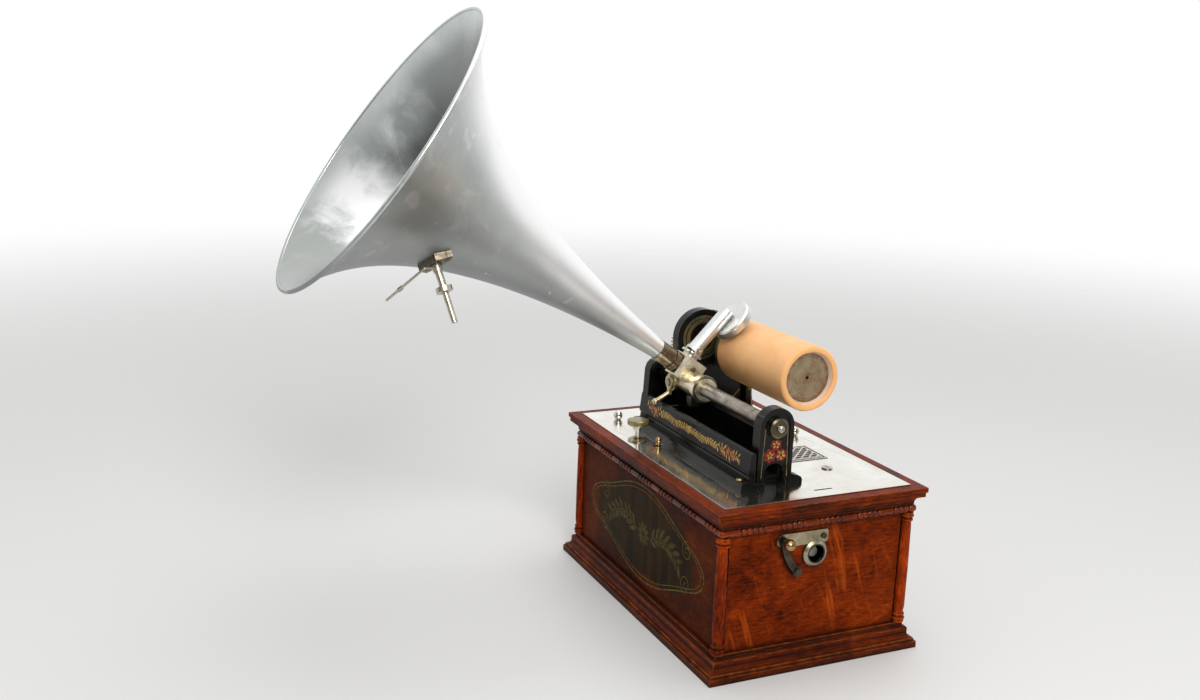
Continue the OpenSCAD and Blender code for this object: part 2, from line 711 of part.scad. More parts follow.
module feed_gear() {
  color(c_brass) difference() {
    union() {
      yz(gear_x, gear_t) translate(tube_c) gear_2d(feed_z, feed_ph);
      xcyl(gear_x - 2, tube_y, tube_z, 6, 3);
    }
    xcyl(gear_x - 3, tube_y, tube_z, screw_journal + seat, 20);
  }
}
stud_r = 3;
module idler_gear() {
  color(c_brass) difference() {
    yz(gear_x, gear_t) translate(idle_c) difference() {
      gear_2d(idle_z, idle_ph);
      for (a = [0 : 90 : 270]) rotate(a + 45) translate([9.6, 0]) circle(r = 3.4);
    }
    xcyl(gear_x - 1, idle_c[0], idle_c[1], stud_r + run, gear_t + 2);
  }
}
module idler_stud() {
  color(c_steel) {
    xcyl(gear_x - 0.4, idle_c[0], idle_c[1], stud_r, left_x + std_t * 0.45 - gear_x + 0.4);
    xcyl(gear_x - 2, idle_c[0], idle_c[1], 5, 1.6);
    xcyl(gear_x + gear_t + 0.4, idle_c[0], idle_c[1], 5, left_x - gear_x - gear_t - 0.4);
  }
}

// Mandrel, its shaft and pulley
rec_end = rec_x + rec_l;
man_end = rec_end - man_inset;
man_start = rec_x - 3;
taper = (bore_wide - bore_narrow) / rec_l;
cone_gap = 0.06;
function man_rad(x) = bore_wide - (x - rec_x) * taper - cone_gap;
module mandrel() {
  color(c_steel) difference() {
    union() {
      xcone(man_start, man_y, man_z, man_rad(man_start), man_rad(man_end), man_end - man_start);
      xcyl(man_start - 3, man_y, man_z, rec_r - 1.5, 3 - 0.3 + rec_x - 0.3 - man_start);
    }
    xcyl(man_start + 4, man_y, man_z, man_rad(man_end) - 3.4, man_end - man_start - 6.4);
    xcyl(man_start - 4, man_y, man_z, man_shaft_r + seat, man_end - man_start + 2);
    xcyl(man_end - 4, man_y, man_z, 1.5, 5);
  }
}
module mandrel_shaft() {
  color(c_steel) {
    xcyl(belt_x - 8, man_y, man_z, man_shaft_r, man_end - 3 - belt_x + 8);
    xcyl(left_in + 5 + 0.2, man_y, man_z, 7, man_start - 3 - left_in - 5 - 0.2);
  }
}
module mandrel_gear() {
  color(c_brass) difference() {
    union() {
      yz(gear_x, gear_t) translate(man_c) gear_2d(feed_z, man_gear_ph);
      xcyl(gear_x - 2, man_y, man_z, 9, 3);
    }
    xcyl(gear_x - 3, man_y, man_z, man_shaft_r + seat, 20);
  }
}
module mandrel_pulley() {
  x0 = belt_x - pulley_t / 2;
  ring_r = groove_r - 3;
  color(c_black) difference() {
    union() {
      xcyl(x0, man_y, man_z, groove_r, pulley_t);
      xcyl(x0, man_y, man_z, pulley_r, 1.6);
      xcyl(x0 + pulley_t - 1.6, man_y, man_z, pulley_r, 1.6);
      xcyl(x0 + pulley_t - 1, man_y, man_z, ring_r, 6);
      xcyl(x0, man_y, man_z, 9, gear_x - 2 - x0);
    }
    difference() {
      xcyl(x0 + 4, man_y, man_z, ring_r - 3.4, 40);
      xcyl(x0, man_y, man_z, 9, 60);
    }
    xcyl(x0 - 1, man_y, man_z, man_shaft_r + seat, 60);
  }
}
module record() {
  color(c_wax) difference() {
    xcyl(rec_x, man_y, man_z, rec_r, rec_l);
    xcone(rec_x - 0.01, man_y, man_z, bore_wide, bore_narrow, rec_l + 0.02);
    xcone(rec_end - 1.5, man_y, man_z, bore_narrow, bore_narrow + 1.5, 1.6);
  }
}
// Belt: two straight runs tangent to both pulleys, closed round them
module belt_2d(extra) {
  rm = groove_r + extra;
  rd = drive_groove + extra;
  lean = asin((rm - rd) / (man_z - drive_c[1]));
  steps = 36;
  polygon(concat(
    [for (i = [0 : steps]) let (a = -lean + (180 + 2 * lean) * i / steps) man_c + rm * [cos(a), sin(a)]],
    [for (i = [0 : steps]) let (a = 180 + lean + (180 - 2 * lean) * i / steps) drive_c + rd * [cos(a), sin(a)]]));
}
module drive_belt() {
  color(c_leather) yz(belt_x - belt_w / 2, belt_w) difference() {
    belt_2d(belt_t + belt_lift);
    belt_2d(belt_lift);
  }
}

// Carriage frame: x along the guide tube, z along the horn, y towards the reproducer
module carriage_frame() { translate([car_x, tube_y, tube_z]) rotate([90 - horn_el, 0, 0]) children(); }
block_y = -3.6;
neck_z = face_h - 8.5;
rep_neck_y = block_y + block_l;
pivot_y = rep_neck_y + 8.6;
module carriage() {
  ch = 3;
  color(c_nickel) difference() {
    union() {
      xcyl(car_x - sleeve_l, tube_y, tube_z, sleeve_r, sleeve_l + sleeve_rt);
      xcyl(car_x - sleeve_l, tube_y, tube_z, sleeve_r + 1, 2.4);
      xcyl(car_x + sleeve_rt - 10.4, tube_y, tube_z, sleeve_r + 1.2, 3);
      xcyl(car_x + sleeve_rt - 6.2, tube_y, tube_z, sleeve_r + 2, 4);
      xcyl(car_x + sleeve_rt - 2.4, tube_y, tube_z, sleeve_r, 2.4);
      carriage_frame() {
        translate([0, block_y + block_l, 0]) rotate([90, 0, 0]) linear_extrude(block_l) polygon([
          [-block_w / 2, 0], [block_w / 2, 0], [block_w / 2, face_h - ch], [block_w / 2 - ch, face_h],
          [-block_w / 2 + ch, face_h], [-block_w / 2, face_h - ch]]);
        translate([0, rep_neck_y - 1, neck_z]) rotate([-90, 0, 0]) cylinder(r = rep_tube_r + 0.8, h = 3.6);
      }
      translate([lever_x, tube_y, lever_z]) rotate([90, 0, 0]) cylinder(r = 8, h = lever_y0);
    }
    xcyl(car_x - sleeve_l - 1, tube_y, tube_z, tube_r + run, sleeve_l + sleeve_rt + 2);
    translate([nut_x - 0.1, tube_y - slot_w / 2 - 2.1, tube_z - 30]) cube([nut_w + 0.2, slot_w + 4.2, 30]);
    carriage_frame() {
      translate([0, ferrule_y, neck_z - 4]) cylinder(r = 5.2, h = 6);
      translate([0, ferrule_y - 1, neck_z]) rotate([-90, 0, 0]) cylinder(r = 4.4, h = 40);
    }
    horn_frame() translate([0, 0, -socket_d]) cylinder(r = ferrule_socket + run, h = 30);
    translate([lever_x, tube_y - lever_y0 + 6, lever_z]) rotate([90, 0, 0]) cylinder(r = 1.5 + seat, h = 20);
    carriage_frame() translate([block_w / 2 - 4, rep_neck_y - 8, face_h - 12]) rotate([0, 90, 0])
      cylinder(r = 1.4 + seat, h = 10);
  }
}
module carriage_screw() {
  color(c_steel) carriage_frame() translate([block_w / 2 - 4, rep_neck_y - 8, face_h - 12]) rotate([0, 90, 0]) {
    cylinder(r = 1.4, h = 4);
    translate([0, 0, 4]) cylinder(r = 2.3, h = 0.9);
  }
}
// Lift lever on the front of the sleeve, with its screw
lever_x = car_x - 10;
lever_z = tube_z - 1.5;
lever_y0 = 13;
lever_t = 2.4;
// The handle reaches over the rail to a point just ahead of it
handle_y = bed_front + 2.96 - (tube_y - lever_y0 - run - lever_t / 2);
handle_z = bed_z + rail_h + 0.46 - (lever_z - 9.6);
handle_l = norm([handle_y, handle_z]);
handle_tilt = acos(handle_z / handle_l);
module lift_lever() {
  color(c_brass) translate([lever_x, tube_y - lever_y0 - run, lever_z]) difference() {
    union() {
      rotate([90, 0, 0]) cylinder(r = 6, h = lever_t);
      translate([-2.2, -lever_t, -11]) cube([4.4, lever_t, 11]);
      translate([0, -lever_t / 2, -9.6]) rotate([handle_tilt, 0, 0]) cylinder(r = 2.1, h = handle_l);
      translate([0, -lever_t / 2, -9.6]) rotate([handle_tilt, 0, 0]) translate([0, 0, handle_l]) sphere(r = 2.9);
    }
    rotate([90, 0, 0]) translate([0, 0, -1]) cylinder(r = 1.5 + run, h = 10);
  }
}
module lever_screw() {
  color(c_nickel) translate([lever_x, tube_y - lever_y0, lever_z]) rotate([90, 0, 0]) {
    translate([0, 0, -6]) cylinder(r = 1.5, h = 6 + lever_t + 2 * run);
    translate([0, 0, lever_t + 2 * run]) cylinder(r = 3.4, h = 1.2);
  }
}
// Half nut: a tongue through the tube's slot, carried below the sleeve
nut_w = 8;
nut_x = car_x + 4;
module half_nut() {
  color(c_steel) difference() {
    union() {
      translate([nut_x, tube_y - slot_w / 2 + 0.3, tube_z - 13]) cube([nut_w, slot_w - 0.6, 12]);
      translate([nut_x, tube_y - slot_w / 2 - 2, tube_z - 19]) cube([nut_w, slot_w + 4, 19 - sleeve_r - 0.6]);
    }
    xcyl(nut_x - 1, tube_y, tube_z, screw_r + clear, nut_w + 2);
  }
}

// Horn and its ferrule
ferrule_y = block_y + block_l / 2;
ferrule_socket = 6.6;
socket_d = 5;
spigot_r = neck_r - horn_wall - 0.25;
module horn_frame() {
  carriage_frame() translate([0, ferrule_y, face_h]) rotate([-(90 - horn_el), 0, 0])
    rotate([0, 0, -horn_yaw]) rotate([90 - horn_el, 0, 0]) children();
}
module horn_ferrule() {
  color(c_ferrule) difference() {
    union() {
      horn_frame() {
        translate([0, 0, -socket_d + seat]) cylinder(r = ferrule_socket, h = socket_d + 3);
        translate([0, 0, 1.4]) cylinder(r = neck_r + 1, h = 5);
        translate([0, 0, 1.4]) cylinder(r = neck_r - 0.4, h = ferrule_l - 2);
        translate([0, 0, 7.6]) cylinder(r = neck_r + 0.5, h = ferrule_l - 7.6 - 0.3);
        translate([0, 0, ferrule_l - 1]) cylinder(r = spigot_r, h = spigot_l + 1);
      }
    }
    horn_frame() translate([0, 0, -10]) cylinder(r = 5, h = 60);
  }
}
// Flare of the horn: an exponential with a quicker turn at the rim
function flare(t) = neck_r + (bell_r - neck_r) * (0.8 * (exp(2.2 * t) - 1) / (exp(2.2) - 1) + 0.2 * pow(t, 11));
function slope(t) = (flare(min(1, t + 0.005)) - flare(t - 0.005)) / (min(1, t + 0.005) - t + 0.005) / horn_l;
function thick(t) = horn_wall * sqrt(1 + slope(t) * slope(t));
stations = [for (i = [0 : 30]) 1 - pow(1 - i / 30, 1.35)];
neck_t = (spigot_l + 2) / horn_l;
module horn_outer() {
  translate([0, 0, ferrule_l]) rotate_extrude($fn = 96)
    polygon(concat([[0, 0]], [for (t = stations) [flare(t), t * horn_l]], [[0, horn_l]]));
}
module horn() {
  bore = [for (i = [0 : 30]) let (t = neck_t + (1 - neck_t) * stations[i])
    [max(spigot_r + run, flare(t) - thick(t)), t * horn_l]];
  color(c_alu) horn_frame() translate([0, 0, ferrule_l]) rotate_extrude($fn = 96) union() {
    polygon(concat([for (t = stations) [flare(t), t * horn_l]],
      [for (i = [30 : -1 : 0]) bore[i]], [[spigot_r + run, neck_t * horn_l], [spigot_r + run, 0]]));
    translate([bell_r + 0.2, horn_l - 0.4]) circle(r = lip_r);
  }
}
// Bracket under the bell: saddle, post and bent prop
brk_slope = atan(slope(bracket_at));
module bracket_frame() {
  horn_frame() translate([0, 0, ferrule_l + bracket_at * horn_l]) rotate([0, 0, bracket_turn])
    translate([0, -flare(bracket_at), 0]) rotate([90 + brk_slope + 16, 0, 0]) children();
}
module horn_saddle() {
  color(c_black) difference() {
    bracket_frame() translate([0, 0, -7]) linear_extrude(9.4)
      polygon([[-19, -3], [-12, 8], [12, 8], [19, -3], [8, -9], [-8, -9]]);
    horn_frame() horn_outer();
  }
}
strut_ring = 2.4;
module horn_pin() {
  color(c_nickel) bracket_frame() translate([0, 0, 2.4]) {
    cylinder(r = 2.9, h = 18);
    translate([0, 0, strut_ring]) cylinder(r = 3.9, h = 3);
    translate([0, 0, 18]) cylinder(r = 6.5, h = 4);
    translate([0, 0, 22]) cylinder(r = pin_r, h = post_l - 24.4);
  }
}
// Bent prop: a ring round the post, a short arm and a long leg
strut_turn = 95;
strut_lean = 64;
strut_arm = 11;
module horn_strut() {
  color(c_nickel) bracket_frame() translate([0, 0, 2.4]) difference() {
    union() {
      cylinder(r = 4.6, h = strut_ring);
      rotate([0, 0, strut_turn]) translate([0, 0, strut_ring / 2]) {
        translate([3.6, 0, 0]) rotate([0, 90, 0]) cylinder(r = 0.95, h = strut_arm - 3.6);
        translate([strut_arm, 0, 0]) { sphere(r = 1.3); rotate([0, strut_lean, 0]) strut_leg(); }
      }
    }
    translate([0, 0, -1]) cylinder(r = 2.9 + seat, h = 6);
  }
}
module strut_leg() {
  cylinder(r = 0.95, h = 44);
  translate([0, 0, 26]) cylinder(r = 1.7, h = 4.6);
}

// Reproducer frame: pivot on the collar, y along the tube, z away from the record
module reproducer_frame() {
  carriage_frame() translate([0, pivot_y, neck_z]) rotate([rep_el - (90 - horn_el), 0, 0]) children();
}
rep_drop = rep_tube_r + rep_t / 2 - 0.7;
module reproducer_collar() {
  color(c_nickel) {
    carriage_frame() difference() {
      union() {
        translate([0, rep_neck_y + 2.6, neck_z]) rotate([-90, 0, 0]) cylinder(r = rep_tube_r + 3.4, h = 2.2);
        for (s = [-1, 1]) translate([s * (rep_tube_r + 2.4) - 1.1, rep_neck_y + 2.6, neck_z - 3])
          cube([2.2, pivot_y - rep_neck_y - 2.6, 6]);
        for (s = [-1, 1]) translate([s * (rep_tube_r + 2.4) - 1.1, pivot_y, neck_z]) rotate([0, 90, 0])
          cylinder(r = 3, h = 2.2);
      }
      translate([0, rep_neck_y, neck_z]) rotate([-90, 0, 0]) cylinder(r = 4.4, h = 30);
      translate([-30, pivot_y, neck_z]) rotate([0, 90, 0]) cylinder(r = 1.3 + run, h = 60);
    }
  }
}
module reproducer_body() {
  color(c_alu) reproducer_frame() difference() {
    union() {
      translate([0, -2.4, 0]) rotate([-90, 0, 0]) cylinder(r = rep_tube_r, h = rep_reach + 5);
      translate([0, rep_reach, -rep_drop - rep_t / 2]) cylinder(r = rep_r, h = rep_t - 1.2);
      translate([0, rep_reach, -rep_drop + rep_t / 2 - 1.2]) cylinder(r1 = rep_r, r2 = rep_r - 1.2, h = 1.2);
      translate([-rep_tube_r - 3.6, 0, 0]) rotate([0, 90, 0]) cylinder(r = 1.3, h = 2 * rep_tube_r + 7.2);
    }
    translate([0, -3, 0]) rotate([-90, 0, 0]) cylinder(r = 4.4, h = rep_reach + 3);
    translate([0, rep_reach, -rep_drop - rep_t / 2 - 1]) cylinder(r = rep_r - 2.5, h = rep_t - 2);
    translate([0, rep_reach, -rep_drop - 1]) cylinder(r = 3, h = rep_drop + 1);
  }
}
module diaphragm() {
  color(c_steel) reproducer_frame() translate([0, rep_reach, -rep_drop]) difference() {
    translate([0, 0, rep_t / 2 - 4.4]) cylinder(r = rep_r - 2.5 - seat, h = 1.4);
    translate([0, 0, rep_t / 2 - 5]) cylinder(r = 0.8 + seat, h = 3);
  }
}
// Foot of the stylus: the record's crest below the reproducer
foot_v = let (k = carriage_to_world(pivot_y, neck_z), a = man_c - k) a[0] * cos(rep_el) + a[1] * sin(rep_el);
foot_d = let (k = carriage_to_world(pivot_y, neck_z), a = man_c - k) -a[0] * sin(rep_el) + a[1] * cos(rep_el);
function carriage_to_world(y, z) = tube_c + y * [sin(horn_el), cos(horn_el)] + z * [-cos(horn_el), sin(horn_el)];
module stylus_lever() {
  tip = foot_d + rec_r + 0.35;
  under = -rep_drop + rep_t / 2 - 4.4;
  color(c_brass) reproducer_frame() {
    translate([0, rep_reach, under - 3]) cylinder(r = 0.8, h = 4);
    translate([-1.2, foot_v - 1, under - 3.4]) cube([2.4, rep_reach - foot_v + 2, 1.2]);
    translate([0, foot_v, tip]) cylinder(r1 = 0.5, r2 = 1.2, h = under - 3 - tip);
  }
}

// Speed screw and stop lever
speed_bush_r = 3.5;
speed_shaft_r = 2.4;
speed_flange_r = 8.4;
speed_y = -half_w + panel_t + speed_bush_r + speed_gap;
module speed_screw() {
  color(c_brass) translate([speed_x, speed_y, 0]) {
    translate([0, 0, plate_bot - 12]) cylinder(r = speed_shaft_r, h = plate_t + 26);
    translate([0, 0, bed_z + 13.4]) cylinder(r = speed_knob_r - 1.4, h = 1);
    translate([0, 0, bed_z + 14.4]) cylinder(r = speed_knob_r, h = 3.2);
    translate([0, 0, bed_z + 17.6]) cylinder(r1 = speed_knob_r, r2 = speed_knob_r - 1.4, h = 1);
  }
}
module speed_bush() {
  color(c_nickel) translate([speed_x, speed_y, 0]) difference() {
    union() {
      translate([0, 0, plate_bot - 4]) cylinder(r = speed_bush_r, h = plate_t + 4);
      translate([0, 0, bed_z]) cylinder(r = speed_flange_r, h = 1);
      translate([0, 0, bed_z + 1]) cylinder(r1 = speed_flange_r, r2 = speed_flange_r - 1.6, h = 0.8);
      translate([0, 0, bed_z + 1]) cylinder(r = speed_bush_r, h = 2.6);
    }
    translate([0, 0, plate_bot - 5]) cylinder(r = speed_shaft_r + run, h = plate_t + 12);
  }
}
stop_px = stop_x - 46;
stop_py = stop_y + 4;
module stop_lever() {
  color(c_brass) difference() {
    union() {
      translate([stop_x, stop_y, plate_bot - 4]) cylinder(r = 1.4, h = plate_t + 8);
      translate([stop_x, stop_y, bed_z + 1]) cylinder(r1 = 2.2, r2 = 1.5, h = 2);
      translate([stop_x, stop_y, bed_z + 5]) sphere(r = 2.6);
      translate([0, 0, plate_bot - 4.4]) linear_extrude(2.4) union() {
        translate([stop_px, stop_py]) circle(r = 5);
        translate([stop_x, stop_y]) circle(r = 3);
        translate([stop_px, stop_py]) rotate(angle_to([stop_px, stop_py], [stop_x, stop_y]))
          translate([0, -2.5]) square([dist([stop_px, stop_py], [stop_x, stop_y]), 5]);
      }
    }
    translate([stop_px, stop_py, plate_bot - 10]) cylinder(r = 2 + run, h = 10);
  }
}
module stop_pivot() {
  color(c_steel) translate([stop_px, stop_py, 0]) {
    translate([0, 0, plate_bot - 6]) cylinder(r = 2, h = 6);
    translate([0, 0, plate_bot - 1.8]) cylinder(r = 4, h = 1.8);
    translate([0, 0, plate_bot - 6]) cylinder(r = 4, h = 1.4);
  }
}

// Motor hung from the bedplate
plate_low = drive_c[1] - 36;
plate_y = [wind_y - 45, drive_c[0] + 33.2];
pillar_at = [for (y = [plate_y[0] + 6.5, plate_y[1] - 6.5], z = [plate_low + 6.5, plate_bot - 11]) [y, z]];
module motor_plate_2d() {
  polygon([[plate_y[0], plate_bot], [plate_y[0], plate_low + 5], [plate_y[0] + 5, plate_low],
    [plate_y[1] - 5, plate_low], [plate_y[1], plate_low + 5], [plate_y[1], plate_bot]]);
}
module motor_plates() {
  color(c_steel) difference() {
    for (s = [0, 1]) {
      x = s == 0 ? motor_l - motor_t : motor_r;
      yz(x, motor_t) motor_plate_2d();
      translate([s == 0 ? x - 14 : x, plate_y[0], plate_bot - motor_t])
        cube([motor_t + 14, plate_y[1] - plate_y[0], motor_t]);
    }
    xcyl(-130, wind_y, wind_z, arbor_r + 1.5 + run, 260);
    for (c = [second_c, drive_c, gov_c]) xcyl(-130, c[0], c[1], arbor_r + run, 260);
    for (p = pillar_at) xcyl(-130, p[0], p[1], 2.2 + seat, 260);
    for (p = hang_at) translate([p[0], p[1], plate_bot - 30]) cylinder(r = 2.2 + seat, h = 40);
  }
}
module motor_pillars() {
  color(c_brass) for (p = pillar_at) {
    xcyl(motor_l, p[0], p[1], 4, motor_r - motor_l);
    xcyl(motor_l - motor_t - 2, p[0], p[1], 2.2, motor_r - motor_l + 2 * motor_t + 4);
  }
}
module winding_arbor() {
  color(c_steel) {
    xcyl(motor_l - motor_t - 1, wind_y, wind_z, arbor_r + 1.5, half_l - 2 - crank_l - motor_l + motor_t + 1);
    xcyl(half_l - 3 - crank_l, wind_y, wind_z, crank_r, crank_l + 1);
    xcyl(barrel_x + 8, wind_y, wind_z, 8, barrel_l - 12);
  }
}
module spring_barrel() {
  r = gear_r(barrel_z);
  color(c_brass) difference() {
    union() {
      yz(barrel_x, gear_t) translate(wind_c) gear_2d(barrel_z, barrel_ph);
      xcyl(barrel_x + gear_t - 0.5, wind_y, wind_z, r - 3, barrel_l - gear_t + 0.5);
      xcyl(barrel_x - 4, wind_y, wind_z, arbor_r + 5, barrel_l + 8);
    }
    xcyl(barrel_x + gear_t, wind_y, wind_z, r - 5, barrel_l - gear_t - 2);
    xcyl(barrel_x - 10, wind_y, wind_z, arbor_r + 1.5 + run, barrel_l + 20);
  }
}
module mainspring() {
  r = gear_r(barrel_z);
  color(c_steel) difference() {
    xcyl(barrel_x + gear_t + 1, wind_y, wind_z, r - 5 - seat, barrel_l - gear_t - 4);
    xcyl(barrel_x, wind_y, wind_z, r - 14, barrel_l);
  }
}
module second_wheel() {
  color(c_brass) {
    yz(wheel_x, 4) translate(second_c) gear_2d(wheel_z, second_ph);
    yz(barrel_x - 0.5, gear_t + 1) translate(second_c) gear_2d(pinion_z, second_ph);
    xcyl(motor_l - motor_t, second_c[0], second_c[1], arbor_r, motor_r - motor_l + 2 * motor_t);
  }
}
module drive_wheel() {
  x0 = belt_x - pulley_t / 2;
  color(c_brass) {
    yz(wheel_x - 0.5, 5) translate(drive_c) gear_2d(pinion_z, drive_ph);
    yz(gov_x, 3) translate(drive_c) gear_2d(wheel_z, drive_ph);
    xcyl(x0, drive_c[0], drive_c[1], arbor_r, motor_r + motor_t - x0);
    xcyl(x0, drive_c[0], drive_c[1], drive_groove, pulley_t);
    xcyl(x0, drive_c[0], drive_c[1], drive_groove + flange_h, 1.6);
    xcyl(x0 + pulley_t - 1.6, drive_c[0], drive_c[1], drive_groove + flange_h, 1.6);
  }
}
// Governor: leaf springs between two hubs, a weight on each and a brake disc at the end
spring_x = gov_x + 6;
spring_l = 30;
hub_r = 5.4;
hub_t = 4;
disc_r = 20;
module governor() {
  color(c_steel) {
    yz(gov_x - 0.5, 4) translate(gov_c) gear_2d(gov_z, gov_ph);
    xcyl(motor_l - motor_t, gov_c[0], gov_c[1], arbor_r, motor_r - motor_l + 2 * motor_t);
    for (x = [0, spring_l - hub_t]) xcyl(spring_x + x, gov_c[0], gov_c[1], hub_r, hub_t);
    xcyl(spring_x + spring_l, gov_c[0], gov_c[1], disc_r, 4);
  }
}
module governor_weights() {
  color(c_brass) for (a = [0, 120, 240]) translate([0, gov_c[0], gov_c[1]]) rotate([a, 0, 0]) {
    translate([spring_x, -2, hub_r + seat]) cube([spring_l - seat, 4, 0.5]);
    translate([spring_x + spring_l / 2, 0, hub_r + seat + 0.4]) cylinder(r = 4.6, h = 5);
  }
}

bottom_board();
front_panel();
back_panel();
left_panel();
right_panel();
base_moulding();
cornice_moulding();
bead_moulding();
corner_columns();
key_bushing();
catch_plate();
catch_screws();
crank_catch();
catch_knob();
bedplate();
bedplate_knobs();
bedplate_screws();
data_plate();
bed_casting();
bed_screws();
guide_tube();
tube_nut();
tube_pivot();
feed_screw();
feed_gear();
idler_gear();
idler_stud();
mandrel();
mandrel_shaft();
mandrel_gear();
mandrel_pulley();
record();
drive_belt();
carriage();
carriage_screw();
lift_lever();
lever_screw();
half_nut();
horn_ferrule();
horn();
horn_saddle();
horn_pin();
horn_strut();
reproducer_collar();
reproducer_body();
diaphragm();
stylus_lever();
speed_screw();
speed_bush();
stop_lever();
stop_pivot();
motor_plates();
motor_pillars();
winding_arbor();
spring_barrel();
mainspring();
second_wheel();
drive_wheel();
governor();
governor_weights();
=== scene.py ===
import math
import bpy
import bmesh
from mathutils import Matrix, Vector


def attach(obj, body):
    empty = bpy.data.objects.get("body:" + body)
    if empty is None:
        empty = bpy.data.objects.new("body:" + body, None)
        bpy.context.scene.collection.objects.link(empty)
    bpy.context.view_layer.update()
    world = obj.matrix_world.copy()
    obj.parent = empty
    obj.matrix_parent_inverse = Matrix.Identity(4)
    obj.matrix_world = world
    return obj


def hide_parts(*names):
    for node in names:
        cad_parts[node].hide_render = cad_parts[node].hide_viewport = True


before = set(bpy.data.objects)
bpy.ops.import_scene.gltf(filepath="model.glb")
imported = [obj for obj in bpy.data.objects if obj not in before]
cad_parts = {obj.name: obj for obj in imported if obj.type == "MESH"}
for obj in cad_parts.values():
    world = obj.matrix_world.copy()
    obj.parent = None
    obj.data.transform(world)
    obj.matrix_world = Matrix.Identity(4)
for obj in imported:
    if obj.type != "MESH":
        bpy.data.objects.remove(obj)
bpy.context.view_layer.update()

# The studio: a pale floor that fades into white, soft light from the right, from above and
# from the front, and the camera where the photograph was taken, as high as the horn's bell.
scene = bpy.context.scene
scene.view_settings.view_transform = "Standard"
for spare in ("Cube", "Light", "Camera"):
    if spare in bpy.data.objects:
        bpy.data.objects.remove(bpy.data.objects[spare])


def show(piece):
    scene.collection.objects.link(piece)
    return piece


def put(tree, kind, sockets=None, **settings):
    """A shader or geometry node with its settings, and its inputs filled or linked."""
    made = tree.nodes.new(kind)
    for name, value in settings.items():
        setattr(made, name, value)
    for key, value in (sockets or {}).items():
        if isinstance(value, bpy.types.NodeSocket):
            tree.links.new(value, made.inputs[key])
        else:
            made.inputs[key].default_value = value
    return made


camera = bpy.data.cameras.new("photographer")
camera.lens, camera.sensor_width = 37.383, 36.0
camera.clip_start, camera.clip_end = 0.01, 60.0
eye = show(bpy.data.objects.new("photographer", camera))
stand = Matrix.Translation((0.88137, -0.53324, 0.45961))
to_right = Vector((0.4089030, 0.9119795, 0.0330411))
downwards = Vector((0.2230156, -0.0647536, -0.9726618))
ahead = Vector((-0.8849081, 0.4050930, -0.2298636))
eye.matrix_world = stand @ Matrix((to_right, -downwards, -ahead)).transposed().to_4x4()
scene.camera = eye


def sums(tree, how, a, b=0.0, c=0.0):
    return put(tree, "ShaderNodeMath", {0: a, 1: b, 2: c}, operation=how).outputs[0]


def times(tree, a, b):
    return sums(tree, "MULTIPLY", a, b)


def vectors(tree, how, a, b=(0, 0, 0)):
    """Vector arithmetic; a length or a dot product comes out as a number."""
    made = put(tree, "ShaderNodeVectorMath", {0: a, 1: b}, operation=how).outputs
    return made["Value" if how in ("LENGTH", "DOT_PRODUCT") else "Vector"]


def parts(tree, vector):
    """A vector's X, Y and Z."""
    return put(tree, "ShaderNodeSeparateXYZ", {0: vector}).outputs


def span(tree, value, low, high, start=0.0, end=1.0, how="LINEAR"):
    """The value's range from low to high, spread from start to end and held outside it."""
    return put(tree, "ShaderNodeMapRange", {0: value, 1: low, 2: high, 3: start, 4: end},
               interpolation_type=how).outputs[0]


def smooth(tree, value, low, high, start=0.0, end=1.0):
    return span(tree, value, low, high, start, end, "SMOOTHSTEP")


def object_place(tree):
    return put(tree, "ShaderNodeTexCoord").outputs["Object"]


world = bpy.data.worlds.new("white_room")
scene.world = world
world.use_nodes = True
sky = world.node_tree
sky.nodes.clear()
ray = put(sky, "ShaderNodeLightPath").outputs
way = put(sky, "ShaderNodeTexCoord").outputs["Generated"]
height = parts(sky, way)["Z"]
wall = smooth(sky, vectors(sky, "DOT_PRODUCT", way, (-0.909, 0.416, 0)), -0.5, 0.3, 0.17, 1.0)
ceiling = smooth(sky, height, 0.42, 0.92, 0.0, 0.95)
room = times(sky, sums(sky, "MAXIMUM", wall, ceiling), span(sky, height, -0.5, 0.02, 0.4, 1.0))
mirrored = sums(sky, "MAXIMUM", ray["Is Glossy Ray"], ray["Is Transmission Ray"])
room_light = put(sky, "ShaderNodeBackground", {
    "Color": room, "Strength": sums(sky, "MULTIPLY_ADD", mirrored, 0.28, 0.72)})
white_wall = put(sky, "ShaderNodeBackground", {"Color": (1, 1, 1, 1), "Strength": 1.0})
seen = put(sky, "ShaderNodeMixShader", {
    0: ray["Is Camera Ray"], 1: room_light.outputs[0], 2: white_wall.outputs[0]})
put(sky, "ShaderNodeOutputWorld", {0: seen.outputs[0]})

aim = Vector((0, -0.05, 0.15))
for name, place, size, power, tint in (
        ("window", (1.75, -0.45, 1.55), 1.1, 36, (1.0, 0.98, 0.95)),
        ("ceiling", (-0.2, 0.3, 2.2), 1.8, 15, (1.0, 1.0, 1.0)),
        ("front_fill", (-0.3, -2.3, 1.0), 1.4, 4, (0.97, 0.98, 1.0))):
    lamp = bpy.data.lights.new(name, "AREA")
    lamp.shape, lamp.size, lamp.energy, lamp.color = "DISK", size, power, tint
    light = show(bpy.data.objects.new(name, lamp))
    light.location = place
    light.rotation_mode = "QUATERNION"
    light.rotation_quaternion = (aim - Vector(place)).to_track_quat("-Z", "Y")

